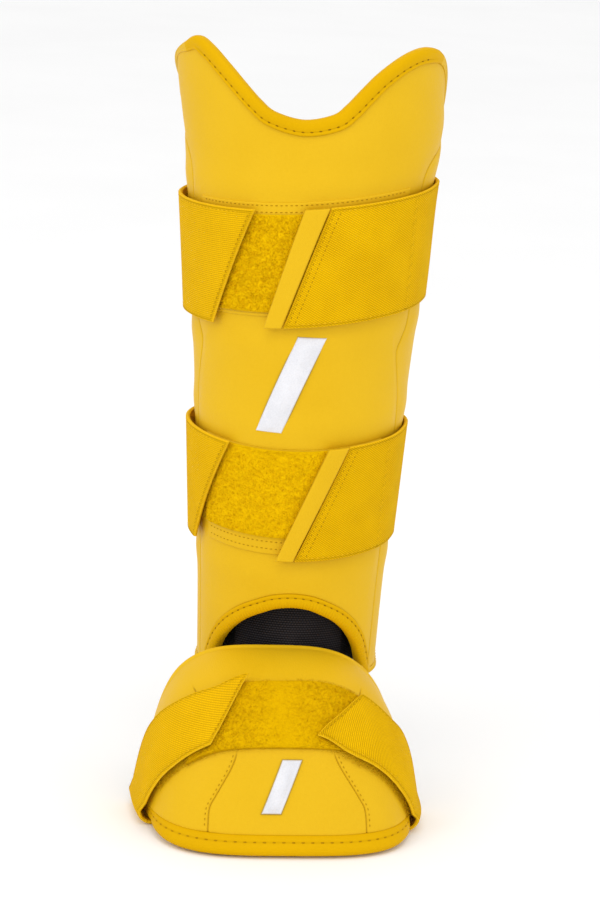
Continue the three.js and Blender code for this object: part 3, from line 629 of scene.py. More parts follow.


# The third colour of each leather is the painted shade for its creases and seams
PU = leather("yellow_leather", srgb(222, 178, 24), srgb(216, 171, 14), srgb(138, 98, 4), 0.11)
PU_TAPE = leather("yellow_binding", srgb(216, 167, 2), srgb(208, 159, 1), srgb(132, 92, 2), 0.03)
TWILL = woven("elastic_twill", srgb(244, 194, 6), srgb(172, 121, 1), "twill")
RIB = woven("elastic_rib", srgb(236, 185, 8), srgb(176, 130, 1), "rib")
LOOPS = brushed("loop_pile_base", srgb(241, 194, 4), srgb(219, 171, 2))
FIBRES = threads("loop_fibres", srgb(243, 197, 5), srgb(229, 181, 3))
FOOT_LOOPS = brushed("foot_loop_base", srgb(228, 180, 3), srgb(204, 157, 1))
FOOT_FIBRES = threads("foot_loop_fibres", srgb(230, 183, 5), srgb(212, 165, 2))
# Thread darkened to stand for the thread together with the painted shade of the needle holes it sinks into:
# deeper in the first, softer in the second
THREAD_AND_DEEP_HOLE_SHADE = threads("thread_and_deep_hole_shade", srgb(160, 116, 5), srgb(120, 82, 3))
THREAD_AND_HOLE_SHADE = threads("thread_and_hole_shade", srgb(190, 144, 10), srgb(152, 110, 4))
# Light thread for the strap hems; it also colours the pale band along strap edges, a painted highlight
# where the rounded edge catches light
LIGHT_THREAD_AND_EDGE_HIGHLIGHT = threads("light_thread_and_edge_highlight", srgb(240, 196, 34), srgb(214, 166, 10))
WEBBING = woven("black_webbing", srgb(56, 53, 56), srgb(4, 4, 5), "webbing", 0.05, 0.12)
LINING = woven("black_lining", srgb(32, 32, 35), srgb(10, 10, 11), "rib", 0.1)
# The third colour is the painted shade round the bar's foot
WHITE = moulded("white_moulding", srgb(226, 226, 231), srgb(204, 205, 211), srgb(168, 140, 46))


def seam_angle(height):
    return np.where(height > seam_head, REAR_ANGLE, read(SIDE_SEAM, "angle", height))


def strap_rise(strap, angle):
    turn = np.radians(angle)
    half = float(read(LEG, "half", strap["height"]))
    return math.tan(math.radians(strap["tilt"])) * half * np.sin(turn) + strap["rise"] * np.sin(turn) ** 2


def swell(angle, height):
    """The panels stand a little proud just above and below each leg strap."""
    out, rise, distance, spread = 0, 0.7, 10, 7
    for strap in STRAPS.values():
        away = np.abs(height - strap["height"] - strap_rise(strap, angle)) - STRAP_WIDTH / 2
        out = out + rise * bell(away, distance, spread) * smooth(-2, 2, away)
    return out


def sewn(d):
    """The fall of a padded skin towards a seam: a fine groove in a broad hollow."""
    groove, hollow = 0.55 * bell(d, 0, 0.45), 0.35 * bell(d, 0, 6)
    return -groove - hollow


def panel(name, at, near_seam, roll):
    angle, up = at[..., 0], at[..., 1]
    offset = sewn(near_seam) - roll + swell(angle, up) * smooth(0, 8, near_seam)
    inner = leg(angle, up, roll - pad_depth(angle, up))
    # Painted shade darkens the skin along its seams
    piece = shell(name + "_skin", leg(angle, up, offset), inner, [PU, LINING], inner_mat=1,
                  crease_shade=0.36 * bell(near_seam, 0, 0.35), cloth=(angle, up), sharp=True, slot="leather",
                  replaces=name)


# Shin guard panels
def side_seam(side, top, gap=0.0):
    """A side seam from its foot up to a height, as the edge of a patch."""
    def line(t):
        height = lerp(seam_foot, top, np.asarray(t))
        return np.stack([side * (seam_angle(height) + gap), height], -1)

    return line


def front_panel():
    u, v = shares(150, 2.6), shares(290, 2.6, ends="none")
    lower = ankle_edge.stretch(-seam_foot_angle, seam_foot_angle)
    upper = top_edge.stretch(-REAR_ANGLE, REAR_ANGLE)
    at = coons(lower, upper, side_seam(-1, top_height), side_seam(1, top_height), u, v)
    width = np.radians(at[:, -1:, 0] - at[:, :1, 0]) * LEG_RADIUS
    panel("shin_front_panel", at, from_edges(u, 1)[None] * width, 0.0)


def side_panel(side, name):
    u, v = shares(42, 2.2), shares(290, 2.6, fine=(0, 0.5, 1.2, 2.4, 4))
    seam, rear = side_seam(side, seam_head, SEAM_GAP), side * REAR_ANGLE
    rear_foot, rear_head = (rear, ANKLE_EDGE["height"][-1]), (rear, SIDE_TOP - 0.3)
    lower = ankle_edge.stretch(side * (seam_foot_angle + SEAM_GAP), rear)
    at = coons(lower, between(seam(1.0), rear_head), seam, between(rear_foot, rear_head), u, v)
    width = np.radians(np.abs(at[:, -1:, 0] - at[:, :1, 0])) * LEG_RADIUS
    rounding = 2.4
    roll = rounding * (1 - edge_round((1 - u)[None] * width, rounding))
    panel(name, at, u[None] * width, roll)


front_panel()
side_panel(-1, "shin_side_panel_left")
side_panel(1, "shin_side_panel_right")


# Lining behind the panels, stood off low down
def lining():
    side_angle, lower, arch_lower, gap, stand_off, half = 100.0, 71.0, 59.0, 1.4, 3.1, 1.0
    arch_side, stands_below, radius = (66, 80), (134, 158), 45
    rows, columns = np.linspace(0, 1, 90), np.linspace(0, 1, 70)
    rim = top_edge.inset(np.linspace(0.05, 0.95, 145), BINDING_WIDTH + 0.6, True)
    order = np.argsort(rim[:, 0])
    angle = lerp(-side_angle, side_angle, columns)
    top = np.interp(angle, rim[order, 0], rim[order, 1])
    foot = lerp(arch_lower, lower, smooth(*arch_side, np.abs(angle - ARCH_TURN)))
    height = lerp(foot[None], top[None], rows[:, None])
    angle = np.broadcast_to(angle, height.shape)
    low = 1 - smooth(*stands_below, height)
    depth = lerp(pad_depth(angle, height), PAD, low) + gap + stand_off * low
    thin = half * edge_round(border(columns, 150, rows, 280), 0.9)
    outer, inner = leg(angle, height, thin - depth - half), leg(angle, height, -thin - depth - half)
    piece = shell("shin_lining_cloth", outer, inner, [LINING], cloth=(np.radians(angle) * radius, height),
                  slot="lining", replaces="shin_lining")


lining()

# Section of a binding: inset into the panel, offset from its face, 1 where counted from its back
BINDING = np.array([
    (6.5, 0.1, 0), (6.4, 0.7, 0), (6.0, 1.15, 0), (5.4, 1.28, 0), (4.8, 1.22, 0), (4.3, 1.05, 0),
    (3.8, 1.25, 0), (2.9, 1.56, 0), (1.8, 1.66, 0), (0.6, 1.55, 0), (-0.6, 1.12, 0), (-1.3, 0.3, 0),
    (-1.55, -0.8, 0), (-1.55, 0.8, 1), (-1.3, -0.3, 1), (-0.6, -1.12, 1), (0.6, -1.5, 1), (2.0, -1.6, 1),
    (6.4, -1.6, 1), (6.4, -0.7, 1), (3.0, -0.7, 1), (-0.4, -0.55, 1), (-0.7, 0.6, 1), (-0.7, -0.6, 0),
    (-0.4, 0.5, 0), (3.0, 0.5, 0), (5.8, 0.12, 0)])
BINDING_STITCH, BINDING_FLUSH, BINDING_NARROW, BINDING_TILT = 4.3, 0.72, 0.2, 6


# Bindings folded over the upper and lower edges: full within the shown angles, sewn within the dotted ones
def binding(name, edge, below, rib, pitch, shown, fade, dotted):
    stations, groove, dot_fade = 900, 5, 8
    share = np.linspace(0, 1, stations)
    line = edge.at(share)
    sewn_part, lined = within(line[:, 0], shown, fade), within(line[:, 0], dotted, dot_fade)
    inset, offset, back = BINDING.T
    front = (back == 0) & (inset > 0)
    narrow = np.where(front, BINDING_NARROW, 1)[None]
    at = edge.inset(share[:, None], inset[None] * lerp(narrow, 1, sewn_part[:, None]), below)
    angle, height = at[..., 0], at[..., 1]
    run = run_along(leg(*line.T))
    # Ribs stand on the fold alone
    weight = np.interp(np.arange(len(inset)), [groove, 7, 10, 13, 16], [0, 0.6, 1, 0.5, 0], left=0, right=0)
    ribs = rib * np.sin(2 * np.pi * run / RIB_PITCH)[:, None] * weight[None]
    flush = np.where(front, offset, 0)[None] * BINDING_FLUSH * (1 - sewn_part)[:, None]
    rings = leg(angle, height, offset[None] - flush + ribs - back[None] * pad_depth(angle, height))
    # Painted shade at the binding's folded edge and in its stitch groove, within the dotted angles
    fold_shade = np.zeros(rings.shape[:2])
    fold_shade[:, :2] = 0.36 * lined[:, None]
    fold_shade[:, groove] = 0.3 * lined
    plain = np.repeat(sewn_part[1:] < 0.5, len(inset))
    sweep(name + "_roll", rings, [PU_TAPE, PU], fold_shade, side_mats=plain, slot="leather", replaces=name)
    keep = (line[:, 0] > dotted[0]) & (line[:, 0] < dotted[1])
    middle = edge.inset(share[keep], BINDING_STITCH, below)
    return sewing(lambda offset: leg(*middle.T, offset), 1.02, pitch, BINDING_TILT)


top_row = binding("shin_top_binding", top_edge, True, 0.0, 4.3, (-46, 60), 32, (-46, 62))
arch_row = binding("ankle_binding", ankle_edge, False, 0.18, 4.0, (-50, 61), 16, (-50, 61))
stitches("binding_stitches", [top_row, arch_row], BINDING_THREAD, THREAD_AND_DEEP_HOLE_SHADE, "leather")


# Leg straps, loop patches and tabs
def strap_at(strap, angle, across, offset):
    return leg(angle, strap["height"] + across + strap_rise(strap, angle), offset)


def strap_end(strap, key, across):
    """The angle of a slanted end at a place across the strap."""
    return lerp(*strap[key], across / STRAP_WIDTH + 0.5)


def loop_patch(name, strap):
    low, high = strap["loop"]
    bottom, top = low - strap["margins"][0], high + strap["margins"][1]
    length, band, edge_thick = 106.0, top - bottom, 0.5
    u, v = shares(length, 1.6), shares(band, 1.1)
    angle, across = np.meshgrid(lerp(-LOOP_ANGLE, LOOP_ANGLE, u), lerp(bottom, top, v))
    d = border(u, length, v, band)
    raised = smooth(-0.4, 0.5, np.minimum(across - low, high - across))
    thick = lerp(edge_thick, LOOP_THICK, raised) * edge_round(d, 0.6)
    rough = PILE_ROUGH * raised * rng.normal(size=across.shape)
    # Painted shade where the pile steps down to the hem
    fold_shade = 0.45 * bell(np.minimum(np.abs(across - low), np.abs(across - high)), 0, 0.5)
    outer = strap_at(strap, angle, across, LOOP_BASE + thick + rough)
    piece = shell(f"{name}_loop_patch", outer, strap_at(strap, angle, across, LOOP_BASE), [LOOPS, PU],
                  crease_shade=fold_shade, cloth=(angle, across), outer_mat=np.where(raised[:-1, :-1] > 0.5, 0, 1),
                  slot="loop_pile", replaces=f"{name}_loop_panel")

    def place(a, b, offset):
        c = lerp(low + 0.3, high - 0.3, b)
        ends = strap_end(strap, "left", c) - 2.2, strap_end(strap, "tab", c) + 1.6
        return strap_at(strap, lerp(*ends, a), c, LOOP_BASE + LOOP_THICK + offset)

    pile(f"{name}_loop_fibres", place, LEG_PILE, FIBRES)
    line, rest = np.linspace(-LOOP_ANGLE + 3, LOOP_ANGLE - 3, 160), LOOP_BASE + edge_thick
    rows = [sewing(lambda offset: strap_at(strap, line, c, offset), rest, PATCH_PITCH)
            for c in strap["rows"]]
    stitches(f"{name}_loop_stitches", rows, PATCH_THREAD, THREAD_AND_HOLE_SHADE, "leather")


def hemmed(d, edge):
    """A woven edge: rounded over, with a bead along it and a groove for the stitches, and painted shade in
    the groove behind the bead and in the stitch groove.
    """
    bead = 0.2 * bell(d, 0.6, 0.35) - 0.16 * bell(d, 1.1, 0.25) - 0.24 * bell(edge, STITCH_INSET, 0.4)
    crease_shade = 0.5 * bell(d, 1.1, 0.25) + 0.25 * bell(edge, STITCH_INSET, 0.42)
    return edge_round(d, STRAP_THICK / 2), bead * smooth(0.2, 0.7, d), crease_shade


def strap_faces(d, ribbed):
    """Which material each face of a strap has: twill, rib, or a pale band along its edges, a painted
    highlight where the rounded edge catches light.
    """
    inside = np.minimum(np.minimum(d[:-1, :-1], d[1:, 1:]), np.minimum(d[:-1, 1:], d[1:, :-1]))
    return np.where(inside < EDGE_HIGHLIGHT_WIDTH, 2, np.where(ribbed[:-1, :-1], 1, 0))


def leg_strap(name, strap):
    length, half, curl, curl_length = strap["length"], STRAP_THICK / 2, 0.8, 7
    ends = lambda across: (strap_end(strap, "right", across), 360 + strap_end(strap, "left", across))
    u, v = shares(length, 1.9), shares(STRAP_WIDTH, 1.5)
    across = STRAP_WIDTH * (v - 0.5)[:, None]
    angle = lerp(*ends(across), u[None])
    across = np.broadcast_to(across, angle.shape)
    from_end, side = (1 - u)[None] * length, from_edges(v, STRAP_WIDTH)[:, None]
    d = np.minimum(np.minimum(from_end, u[None] * length), side)
    round_off, bead, fold_shade = hemmed(d, np.minimum(from_end, side))
    step = RIB_STEP * smooth(RIB_FROM - 0.8, RIB_FROM, angle)
    middle = read(STRAP_REST, "gap", angle) + half + curl * np.exp(-from_end / curl_length)
    # Painted shade in the hem grooves, at the step where the ribs begin and along the sewn seam
    fold_shade = fold_shade + 0.4 * bell(angle, RIB_FROM - 0.6, 0.5) + 0.25 * bell(angle, SEWN_ANGLE, 0.4)
    outer = strap_at(strap, angle, across, middle + (half + step) * round_off + bead)
    inner = strap_at(strap, angle, across, middle - half * round_off)
    piece = shell(f"{name}_strap_elastic", outer, inner, [TWILL, RIB, LIGHT_THREAD_AND_EDGE_HIGHLIGHT], crease_shade=fold_shade,
                  cloth=(np.radians(angle) * STRAP_RADIUS, across), inner_mat=1,
                  outer_mat=strap_faces(d, angle > RIB_FROM), slot="elastic", replaces=f"{name}_strap")

    def row(line, place, lift, pitch):
        top = read(STRAP_REST, "gap", line) + STRAP_THICK + RIB_STEP * (line > RIB_FROM)
        return sewing(lambda offset: strap_at(strap, line, place, top + offset), lift, pitch)

    places = STRAP_WIDTH * (np.linspace(0.04, 0.96, 90) - 0.5)
    right_end, left_end = ends(places)
    degree, seams = 360 / length, (SEWN_ANGLE, RIB_FROM + 1.6, RIB_FROM + 4.0)
    # Stitch rows at the ends in thread darkened with painted needle-hole shade; rows along the seams and
    # hems in light thread
    dark = [row(left_end - STITCH_INSET * degree, places, 0.42, SEAM_PITCH)]
    dark += [row(right_end + inset * degree, places, -0.05, CLOSE_PITCH) for inset in (STITCH_INSET, 4.4)]
    light = [row(np.full_like(places, seam), places, -0.02, SEAM_PITCH) for seam in seams]
    for place in (STITCH_INSET - STRAP_WIDTH / 2, STRAP_WIDTH / 2 - STITCH_INSET):
        start, end = ends(place)
        for stretch in ((start + 5, RIB_FROM - 2, 400), (RIB_FROM + 2, end - 3, 260)):
            line = np.linspace(*stretch)
            light.append(row(line, np.full_like(line, place), -0.14, HEM_PITCH))
    stitches(f"{name}_strap_end_stitches", dark, END_THREAD, THREAD_AND_HOLE_SHADE, "elastic")
    stitches(f"{name}_strap_edge_stitches", light, HEM_THREAD, LIGHT_THREAD_AND_EDGE_HIGHLIGHT, "elastic")


def strap_tab(name, strap):
    u, v = shares(TAB_WIDTH, 0.7, fine=(0, 0.15, 0.4, 0.8, 1.3, 1.8)), shares(STRAP_WIDTH, 1.6)
    across = STRAP_WIDTH * (v - 0.5)[:, None]
    angle = lerp(strap_end(strap, "tab", across), strap_end(strap, "right", across) - 0.45, u[None])
    across = np.broadcast_to(across, angle.shape)
    d = border(u, TAB_WIDTH, v, STRAP_WIDTH)
    middle, body = STRAP_BASE + TAB_THICK / 2, TAB_THICK / 2 * edge_round(d, 0.9)
    outer = strap_at(strap, angle, across, middle + body + 0.15 * smooth(0, 4, d))
    inner = strap_at(strap, angle, across, middle - body)
    # Painted shade along the tab's edges
    piece = shell(f"{name}_tab_skin", outer, inner, [PU], crease_shade=0.35 * bell(d, 0, 0.25), slot="leather",
                  replaces=f"{name}_tab")


for strap_name, strap_data in STRAPS.items():
    loop_patch(strap_name, strap_data)
    leg_strap(strap_name, strap_data)
    strap_tab(strap_name, strap_data)


# Foot guard panels, whose seams close up under the loop strip and above the strap
def seam_shown(lift):
    strip, fade, above_strap = (36, 48), 3, (62, 66)
    return 1 - smooth(*above_strap, lift) - within(lift, strip, fade)


def hood_seam(side, gap):
    base = float(hood_base(hood_turn(side * HOOD_SEAM["across"][0], 0.0)))

    def line(t):
        lift = lerp(base, HOOD_REAR, np.asarray(t, float))
        across = read(HOOD_SEAM, "across", lift) + gap * lerp(0.1, 1, seam_shown(lift))
        return np.stack([hood_turn(side * across, lift), lift], -1)

    return line


def hood_skin(name, at, seamed_both):
    """A skin sewn along its first side, and along its other side too or free there."""
    turn, lift = at[..., 0], at[..., 1]
    points = hood(turn, lift)
    left, climb = run_along(points, 1), run_along(points, 0)
    right, rear = left[:, -1:] - left, climb[-1:] - climb
    seam, free = (np.minimum(left, right), rear) if seamed_both else (left, np.minimum(rear, right))
    rounding, shown = 1.4, seam_shown(lift)
    roll = rounding * (1 - edge_round(free, rounding))
    lip = 0.8 * bell(rear, 1.2, 1.3) * (1 - smooth(40, 70, np.abs(turn))) - 0.2 * bell(rear, 3.8, 0.5)
    offset = shown * sewn(seam) - 0.12 * bell(climb, 0, 0.5) + lip - roll
    # Painted shade along the seams, at the skin's foot and in the groove behind the lip
    fold_shade = 0.34 * shown * bell(seam, 0, 0.34) + 0.1 * bell(climb, 0, 0.3) + 0.14 * bell(rear, 3.8, 0.45)
    piece = shell(name + "_skin", hood(turn, lift, offset), hood(turn, lift, roll - PAD), [PU, LINING],
                  crease_shade=fold_shade, inner_mat=1, cloth=(turn * 1.2, lift * 1.4), sharp=True, slot="leather",
                  replaces=name)


def base_line(start, end):
    return lambda t: np.stack([lerp(start, end, t), hood_base(lerp(start, end, t))], -1)


def foot_top():
    left, right = hood_seam(-1, -HOOD_SEAM_GAP), hood_seam(1, -HOOD_SEAM_GAP)
    lower = base_line(left(0.0)[0], right(0.0)[0])
    at = coons(lower, between(left(1.0), right(1.0)), left, right, shares(84, 1.7), shares(108, 1.7))
    hood_skin("foot_top_panel", at, True)


def foot_side(side, name):
    seam, out = hood_seam(side, HOOD_SEAM_GAP), side * HOOD_SIDE
    outer = between((out, float(hood_base(out))), (out, HOOD_REAR))
    lower = base_line(seam(0.0)[0], out)
    at = coons(lower, between(seam(1.0), outer(1.0)), seam, outer, shares(60, 1.6), shares(108, 1.7))
    hood_skin(name, at, False)


def hood_stitches():
    lines, beside, sunk = [], 1.5, -0.08
    lift = np.linspace(9, 34.5, 80)
    for side in (-1, 1):
        turn = hood_turn(side * (read(HOOD_SEAM, "across", lift) + beside), lift)
        lines.append(sewing(lambda offset: hood(turn, lift, offset), sunk, SEAM_PITCH))
    stitches("foot_seam_stitches", lines, SEAM_THREAD, THREAD_AND_HOLE_SHADE, "leather")


foot_top()
foot_side(-1, "foot_side_panel_left")
foot_side(1, "foot_side_panel_right")
hood_stitches()

# Section of the rim: share of the toe's flare, tuck, drop
RIM = ((0, 0.1, 0), (0.1, 0, 0.03), (0.3, 0, 0.12), (0.4, 0, 0.2), (0.47, 0.12, 0.27),
       (0.55, 0, 0.34), (0.7, 0, 0.46), (0.85, 0, 0.62), (0.9, 0.3, 0.78), (0.84, 1.0, 0.9),
       (0.7, 2.0, 0.97), (0.5, 3.0, 1.0), (0.2, 4.6, 1.0))


# Rim round the hood's base
def foot_rim():
    stations, groove, sewn_part = 300, 4, slice(22, -22)
    turn = np.linspace(-HOOD_SIDE, HOOD_SIDE, stations)
    on_base = hood(turn, hood_base(turn))
    out = hood(turn, hood_base(turn), 1.0) - on_base
    out[:, 2] = 0
    out = unit(out)
    toe = np.maximum(0, 1 - (turn / RIM_TURN) ** 4)
    low, top = RIM_LOW - RIM_DROP * toe**2 - ANKLE, on_base[:, 2] - 0.06

    def ring(reach, drop):
        p = on_base + out * reach[:, None]
        p[:, 2] = lerp(top, low, drop)
        return p

    rings = [ring(flare * RIM_FLARE * toe - tuck, drop) for flare, tuck, drop in RIM]
    rings += [ring(np.full_like(turn, -RIM_THICK), drop) for drop in (0.96, 0.5, 0.17)]
    rings = np.stack(rings, 1)
    # Painted shade along the rim's top edge and in its stitch groove
    fold_shade = np.zeros(rings.shape[:2])
    fold_shade[:, 0], fold_shade[:, groove] = 0.1, 0.2
    sweep("foot_rim_roll", rings, [PU_TAPE], fold_shade, slot="leather", replaces="foot_rim")
    line = rings[:, groove] + out * 0.05
    row = (line[sewn_part], out[sewn_part] + (0, 0, 0.3), RIM_PITCH, 0)
    stitches("foot_rim_stitches", [row], RIM_THREAD, THREAD_AND_HOLE_SHADE, "leather")


foot_rim()


# Loop strip and strap over the foot; v runs from the strap's rear edge to its front edge
def foot_plane(v, turn):
    return lerp(read(FOOT_STRAP, "rear", turn), read(FOOT_STRAP, "front", turn), v)


def foot_lift(v, turn):
    ahead = foot_plane(v, turn)
    square, half = 1 + FOOT_SLOPE**2, FOOT_SLOPE * ahead
    rest = ahead**2 - hood_reach(turn) ** 2
    height = (np.sqrt(np.maximum(0, half**2 - square * rest)) - half) / square
    return np.degrees(np.arctan2(height, ahead + FOOT_SLOPE * height))


def foot_turn_at(v, side, height):
    ahead = foot_plane(v, side * 90.0) + FOOT_SLOPE * height
    return side * np.degrees(np.arccos((np.hypot(ahead, height) / HOOD_REACH) ** (HOOD_POWER / 2)))


def foot_end_turn(side, v):
    return hood_turn(lerp(*FOOT_ENDS[side], v), FOOT_END_LIFT)


def foot_loop():
    length, width = 112.0, 38.0
    ends = FOOT_LOOP["turn"][0], FOOT_LOOP["turn"][-1]
    u, v = shares(length, 1.3), shares(width, 1.0)
    turn, across = np.meshgrid(lerp(*ends, u), v)

    def lift(turn, across):
        return lerp(read(FOOT_LOOP, "rear", turn), read(FOOT_LOOP, "front", turn), across)

    d = border(u, length, v, width)
    rough = PILE_ROUGH * rng.normal(size=turn.shape) * smooth(0, 1, d)
    outer = hood(turn, lift(turn, across), LAYER + 0.1 + 1.1 * edge_round(d, 0.8) + rough)
    # Painted shade along the strip's edges
    piece = shell("foot_loop_patch", outer, hood(turn, lift(turn, across), LAYER), [FOOT_LOOPS],
                  crease_shade=0.3 * bell(d, 0, 0.5), cloth=(turn, across * width), slot="loop_pile",
                  replaces="foot_loop_panel")

    # The pile reaches a little past the strip's edges
    def spot(a, b):
        return lerp(*ends, a), lerp(-0.02, 1.04, b)

    def place(a, b, offset):
        turn, across = spot(a, b)
        beyond = np.maximum(np.abs(across - 0.5) - 0.5, 0) * width
        return hood(turn, lift(turn, across), LAYER + 1.2 - 0.8 * np.minimum(beyond, 1) + offset)

    def shown(a, b):
        turn, across = spot(a, b)
        here, front, rear = lift(turn, across), foot_lift(1.0, turn), foot_lift(0.0, turn)
        share = np.clip((here - rear) / (front - rear), 0, 1)
        outside = (turn < foot_end_turn(-1, share) - 1) | (turn > foot_end_turn(1, share) + 1)
        return ~(outside & (here > front + 1) & (here < rear - 1))

    pile("foot_loop_fibres", place, FOOT_PILE, FOOT_FIBRES, keep=shown)

    def fringe(a, b, offset):
        turn = lerp(-FRINGE_TURN, FRINGE_TURN, a)
        return hood(turn, foot_lift(1.0, turn) - lerp(-0.6, 2.2, b), LAYER + 1.2 * (1 - b) + offset)

    def beside(a, b):
        turn = lerp(-FRINGE_TURN, FRINGE_TURN, a)
        return (turn < foot_end_turn(-1, 1.0)) | (turn > foot_end_turn(1, 1.0))

    pile("foot_strap_fringe", fringe, FRINGE, FOOT_FIBRES, keep=beside)


def foot_strap_half(side, v, stations, offset):
    """One half of the strap, from its end on the hood to the middle of the sole; offset is a grid."""
    on_hood, on_bend, on_sole = stations
    t = shares(120, 1.6, ends="low")
    t = np.interp(np.linspace(0, 1, on_hood), np.linspace(0, 1, len(t)), t)
    join = foot_turn_at(v, side, FOOT_JOIN)
    turn = lerp(foot_end_turn(side, v)[:, None], join[:, None], t[None])
    parts = [hood(turn, foot_lift(v[:, None], turn), offset[:, :on_hood])]
    foot = unplaced_x(hood(foot_turn_at(v, side, RIM_LOW), 0.0, STRAP_BASE))
    centre = (side * foot - FOOT_CORNER)[:, None]
    radius = FOOT_CORNER + offset[:, on_hood:on_hood + on_bend] - STRAP_BASE
    ahead = (HOOD_AXIS + foot_plane(v, side * 90.0))[:, None]
    quarter = np.linspace(0, np.pi / 2, on_bend)[None]
    height = STRAP_THICK + FOOT_CORNER - radius * np.sin(quarter)
    x = side * (centre + radius * np.cos(quarter))
    parts.append(placed(x, -ahead - FOOT_SLOPE * height, height - ANKLE))
    middle = (HOOD_AXIS + (foot_plane(v, -90.0) + foot_plane(v, 90.0)) / 2)[:, None]
    outward = np.linspace(1, 0, on_sole + 1)[None, 1:]
    height = STRAP_THICK - (offset[:, on_hood + on_bend:] - STRAP_BASE)
    parts.append(placed(side * centre * outward, -lerp(middle, ahead, outward), height - ANKLE))
    return np.concatenate(parts, 1)


def foot_strap():
    v, stations, half = shares(FOOT_WIDTH, 1.2), (84, 12, 40), STRAP_THICK / 2
    total, curl, curl_length = sum(stations), 0.9, 8
    side_d = from_edges(v, FOOT_WIDTH)[:, None]
    halves, ends, edges = [], [], []
    for side in (-1, 1):
        line = foot_strap_half(side, v, stations, np.full((len(v), total), STRAP_BASE + half))
        run = run_along(line, 1)
        d = np.minimum(run, side_d)
        # hemmed also gives painted shade for the hem grooves
        round_off, bead, fold_shade = hemmed(d, d)
        middle = STRAP_BASE + half + curl * np.exp(-run / curl_length)
        outer = foot_strap_half(side, v, stations, middle + half * round_off + bead)
        inner = foot_strap_half(side, v, stations, middle - half * round_off)
        down, across = line[..., 2] * 1.15, np.broadcast_to(-v[:, None] * FOOT_WIDTH, run.shape)
        weave = (line[..., 0], down) if side < 0 else (line[..., 0] - line[..., 2], across)
        halves.append((outer, inner, *weave, fold_shade, d))
        normal = outer - inner
        pick = lambda grid: np.array([points_at(STITCH_INSET, *row) for row in zip(run, grid)])[8:-8]
        ends.append((pick(outer), pick(normal), SEAM_PITCH, 0))
        on_hood = slice(12, stations[0])
        for inset in (STITCH_INSET, FOOT_WIDTH - STITCH_INSET):
            j = np.argmin(np.abs(v * FOOT_WIDTH - inset))
            edges.append((outer[j, on_hood], normal[j, on_hood], HEM_PITCH, 0))
    joined = (np.concatenate([left, right[:, -2::-1]], 1) for left, right in zip(*halves))
    outer, inner, weave_u, weave_v, fold_shade, d = joined
    ribbed = np.broadcast_to(np.arange(d.shape[1]) < total - 1, d.shape)
    piece = shell("foot_strap_elastic", outer, inner, [TWILL, RIB, LIGHT_THREAD_AND_EDGE_HIGHLIGHT], crease_shade=fold_shade,
                  cloth=(weave_u, weave_v), outer_mat=strap_faces(d, ribbed), inner_mat=1, slot="elastic",
                  replaces="foot_strap")
    stitches("foot_strap_end_stitches", ends, END_THREAD, THREAD_AND_HOLE_SHADE, "elastic")
    stitches("foot_strap_edge_stitches", edges, HEM_THREAD, LIGHT_THREAD_AND_EDGE_HIGHLIGHT, "elastic")


foot_loop()
foot_strap()


# Webbing from behind the ankle arch to under the hood
def connector():
    half, turn, top, bend, lowest, end_lift, thick = 45.0, 5.0, 119.0, 80.0, 57.0, 70.0, 1.8
    upright, width, length, flat_length, rib, rib_pitch = 0.4, 60.0, 100.0, 76.0, 0.09, 2.2
    depth = PAD + 2 * LAYER + 1.0 + thick / 2

    def place(u, v):
        u, v = np.broadcast_arrays(u, v)
        angle = turn + lerp(-half, half, u)
        high = leg(angle, lerp(top, bend, np.minimum(v / upright, 1)), -depth)
        start, corner = leg(angle, bend, -depth), leg(angle, lowest, -depth)
        finish = hood(hood_turn(unplaced_x(start), end_lift), end_lift, -(PAD + 0.3 + thick / 2))
        t = np.clip((v - upright) / (1 - upright), 0, 1)[..., None]
        bent = (1 - t) ** 2 * start + 2 * t * (1 - t) * corner + t * t * finish
        return np.where((v < upright)[..., None], high, bent)

    nudge = 0.002
    u, v = shares(width, 1.2), shares(length, 0.55, fine=(0, 0.2, 0.5, 0.9))
    uu, vv = np.meshgrid(u, v)
    across = place(uu + nudge, vv) - place(uu - nudge, vv)
    along = place(uu, vv + nudge) - place(uu, vv - nudge)
    normal, middle = unit(np.cross(across, along)), place(uu, vv)
    d = border(u, width, v, length)
    body = (thick / 2 * edge_round(d, 0.9))[..., None]
    ribs = (rib * np.sin(2 * np.pi * vv * length / rib_pitch) * smooth(0, 2, d))[..., None]
    piece = shell("ankle_connector_webbing", middle + normal * (body + ribs), middle - normal * body,
                  [WEBBING], cloth=(uu * width, vv * length), slot="webbing", replaces="ankle_connector")


connector()


# Raised plain bars
def badge(name, place, half_width, half_height):
    skirt, fine = 0.45, (0, 0.15, 0.3, 0.4, 0.5, 0.65, 0.9, 1.3, 1.8, 2.4, 3.0)
    width, height = 2 * (half_width + skirt), 2 * (half_height + skirt)
    u, v = shares(width, 0.7, fine=fine), shares(height, 1.2, fine=fine)
    x, y = np.meshgrid(width * (u - 0.5), height * (v - 0.5))
    d = border(u, width, v, height)
    base, body = 0.2 * smooth(0, 0.35, d), 0.7 * smooth(skirt - 0.05, skirt + 0.4, d)
    raised = base + body + 1.3 * np.clip(1 - np.abs(x) / half_width, 0, 1) * smooth(skirt, 4, d)
    shell(name + "_bar", place(x, y, 0.35 + raised), place(x, y, 0.3), [WHITE],
          crease_shade=1 - smooth(skirt - 0.1, skirt + 0.1, d), slot="badge", replaces=name)


def on_shin(x, y, offset):
    middle, height, slant, reach = -2.0, 226.0, 10 / 26, 55.1
    return leg(np.degrees((middle + x + y * slant) / reach), height + y, offset)


def on_foot(x, y, offset):
    middle, slant, lift = -2.9, 6 / 13.9, 23.2 + y * 9.5 / 13.9
    return hood(hood_turn(middle + x + y * slant, lift), lift, offset)


badge("shin_badge", on_shin, 6.8, 25.3)
badge("foot_badge", on_foot, 4.8, 13.2)


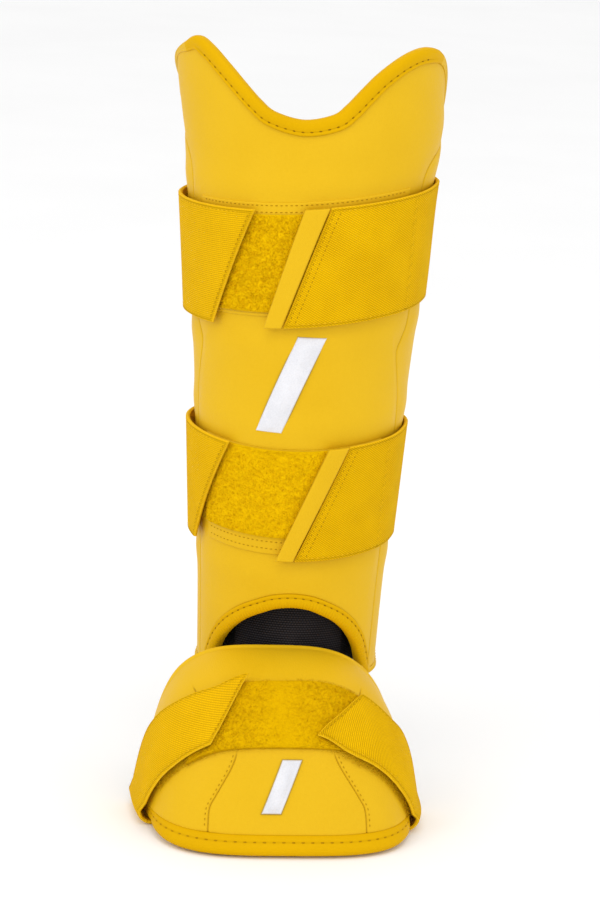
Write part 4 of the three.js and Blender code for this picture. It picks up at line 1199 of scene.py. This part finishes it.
# Floor, light and camera, in metres
def floor():
    size, z = 8.0, -ANKLE / 1000 - 0.0004
    corners = [(-size, -size, z), (size, -size, z), (size, size, z), (-size, size, z)]
    mesh = bpy.data.meshes.new("floor")
    mesh.from_pydata(corners, [], [(0, 1, 2, 3)])
    mesh.materials.append(pale_floor("pale_floor"))
    obj = bpy.data.objects.new("floor", mesh)
    bpy.context.collection.objects.link(obj)


def area_light(name, place, size, power, colour):
    aim = np.array((0, 0, 0.1))
    data = bpy.data.lights.new(name, "AREA")
    data.shape, data.size, data.energy, data.color = "DISK", size, power, colour
    obj = bpy.data.objects.new(name, data)
    obj.location = place
    way = aim - np.array(place)
    tilt, turn = math.acos(-way[2] / np.linalg.norm(way)), math.atan2(way[1], way[0]) - math.pi / 2
    obj.rotation_euler = (tilt, 0, turn)
    bpy.context.collection.objects.link(obj)


def studio():
    floor()
    area_light("key", (-1.5, -1.5, 1.3), 1.3, 8.5, (1.0, 0.98, 0.95))
    area_light("fill", (1.6, -1.4, 0.8), 1.4, 3.5, (1.0, 0.98, 0.95))
    area_light("top", (0.1, -1.1, 2.0), 1.2, 8, (1, 1, 1))
    world = bpy.data.worlds.new("studio")
    world.use_nodes = True
    background = world.node_tree.nodes["Background"].inputs
    background["Color"].default_value, background["Strength"].default_value = (1, 1, 1, 1), 1.0
    bpy.context.scene.world = world
    bpy.context.scene.view_settings.view_transform = "Standard"


def camera():
    azimuth, elevation, roll = (math.radians(a) for a in (3.5, 14.5, 3.175))
    aim, distance = (0.00347, -0.03, 0.10157), 1.5
    data = bpy.data.cameras.new("camera")
    data.lens, data.sensor_width = 117.2, 36
    obj = bpy.data.objects.new("camera", data)
    place = Matrix.Translation(aim) @ Matrix.Rotation(azimuth, 4, "Z")
    place = place @ Matrix.Rotation(math.pi / 2 - elevation, 4, "X") @ Matrix.Rotation(roll, 4, "Z")
    obj.matrix_world = place @ Matrix.Translation((0, 0, distance))
    bpy.context.collection.objects.link(obj)
    bpy.context.scene.camera = obj


studio()
camera()
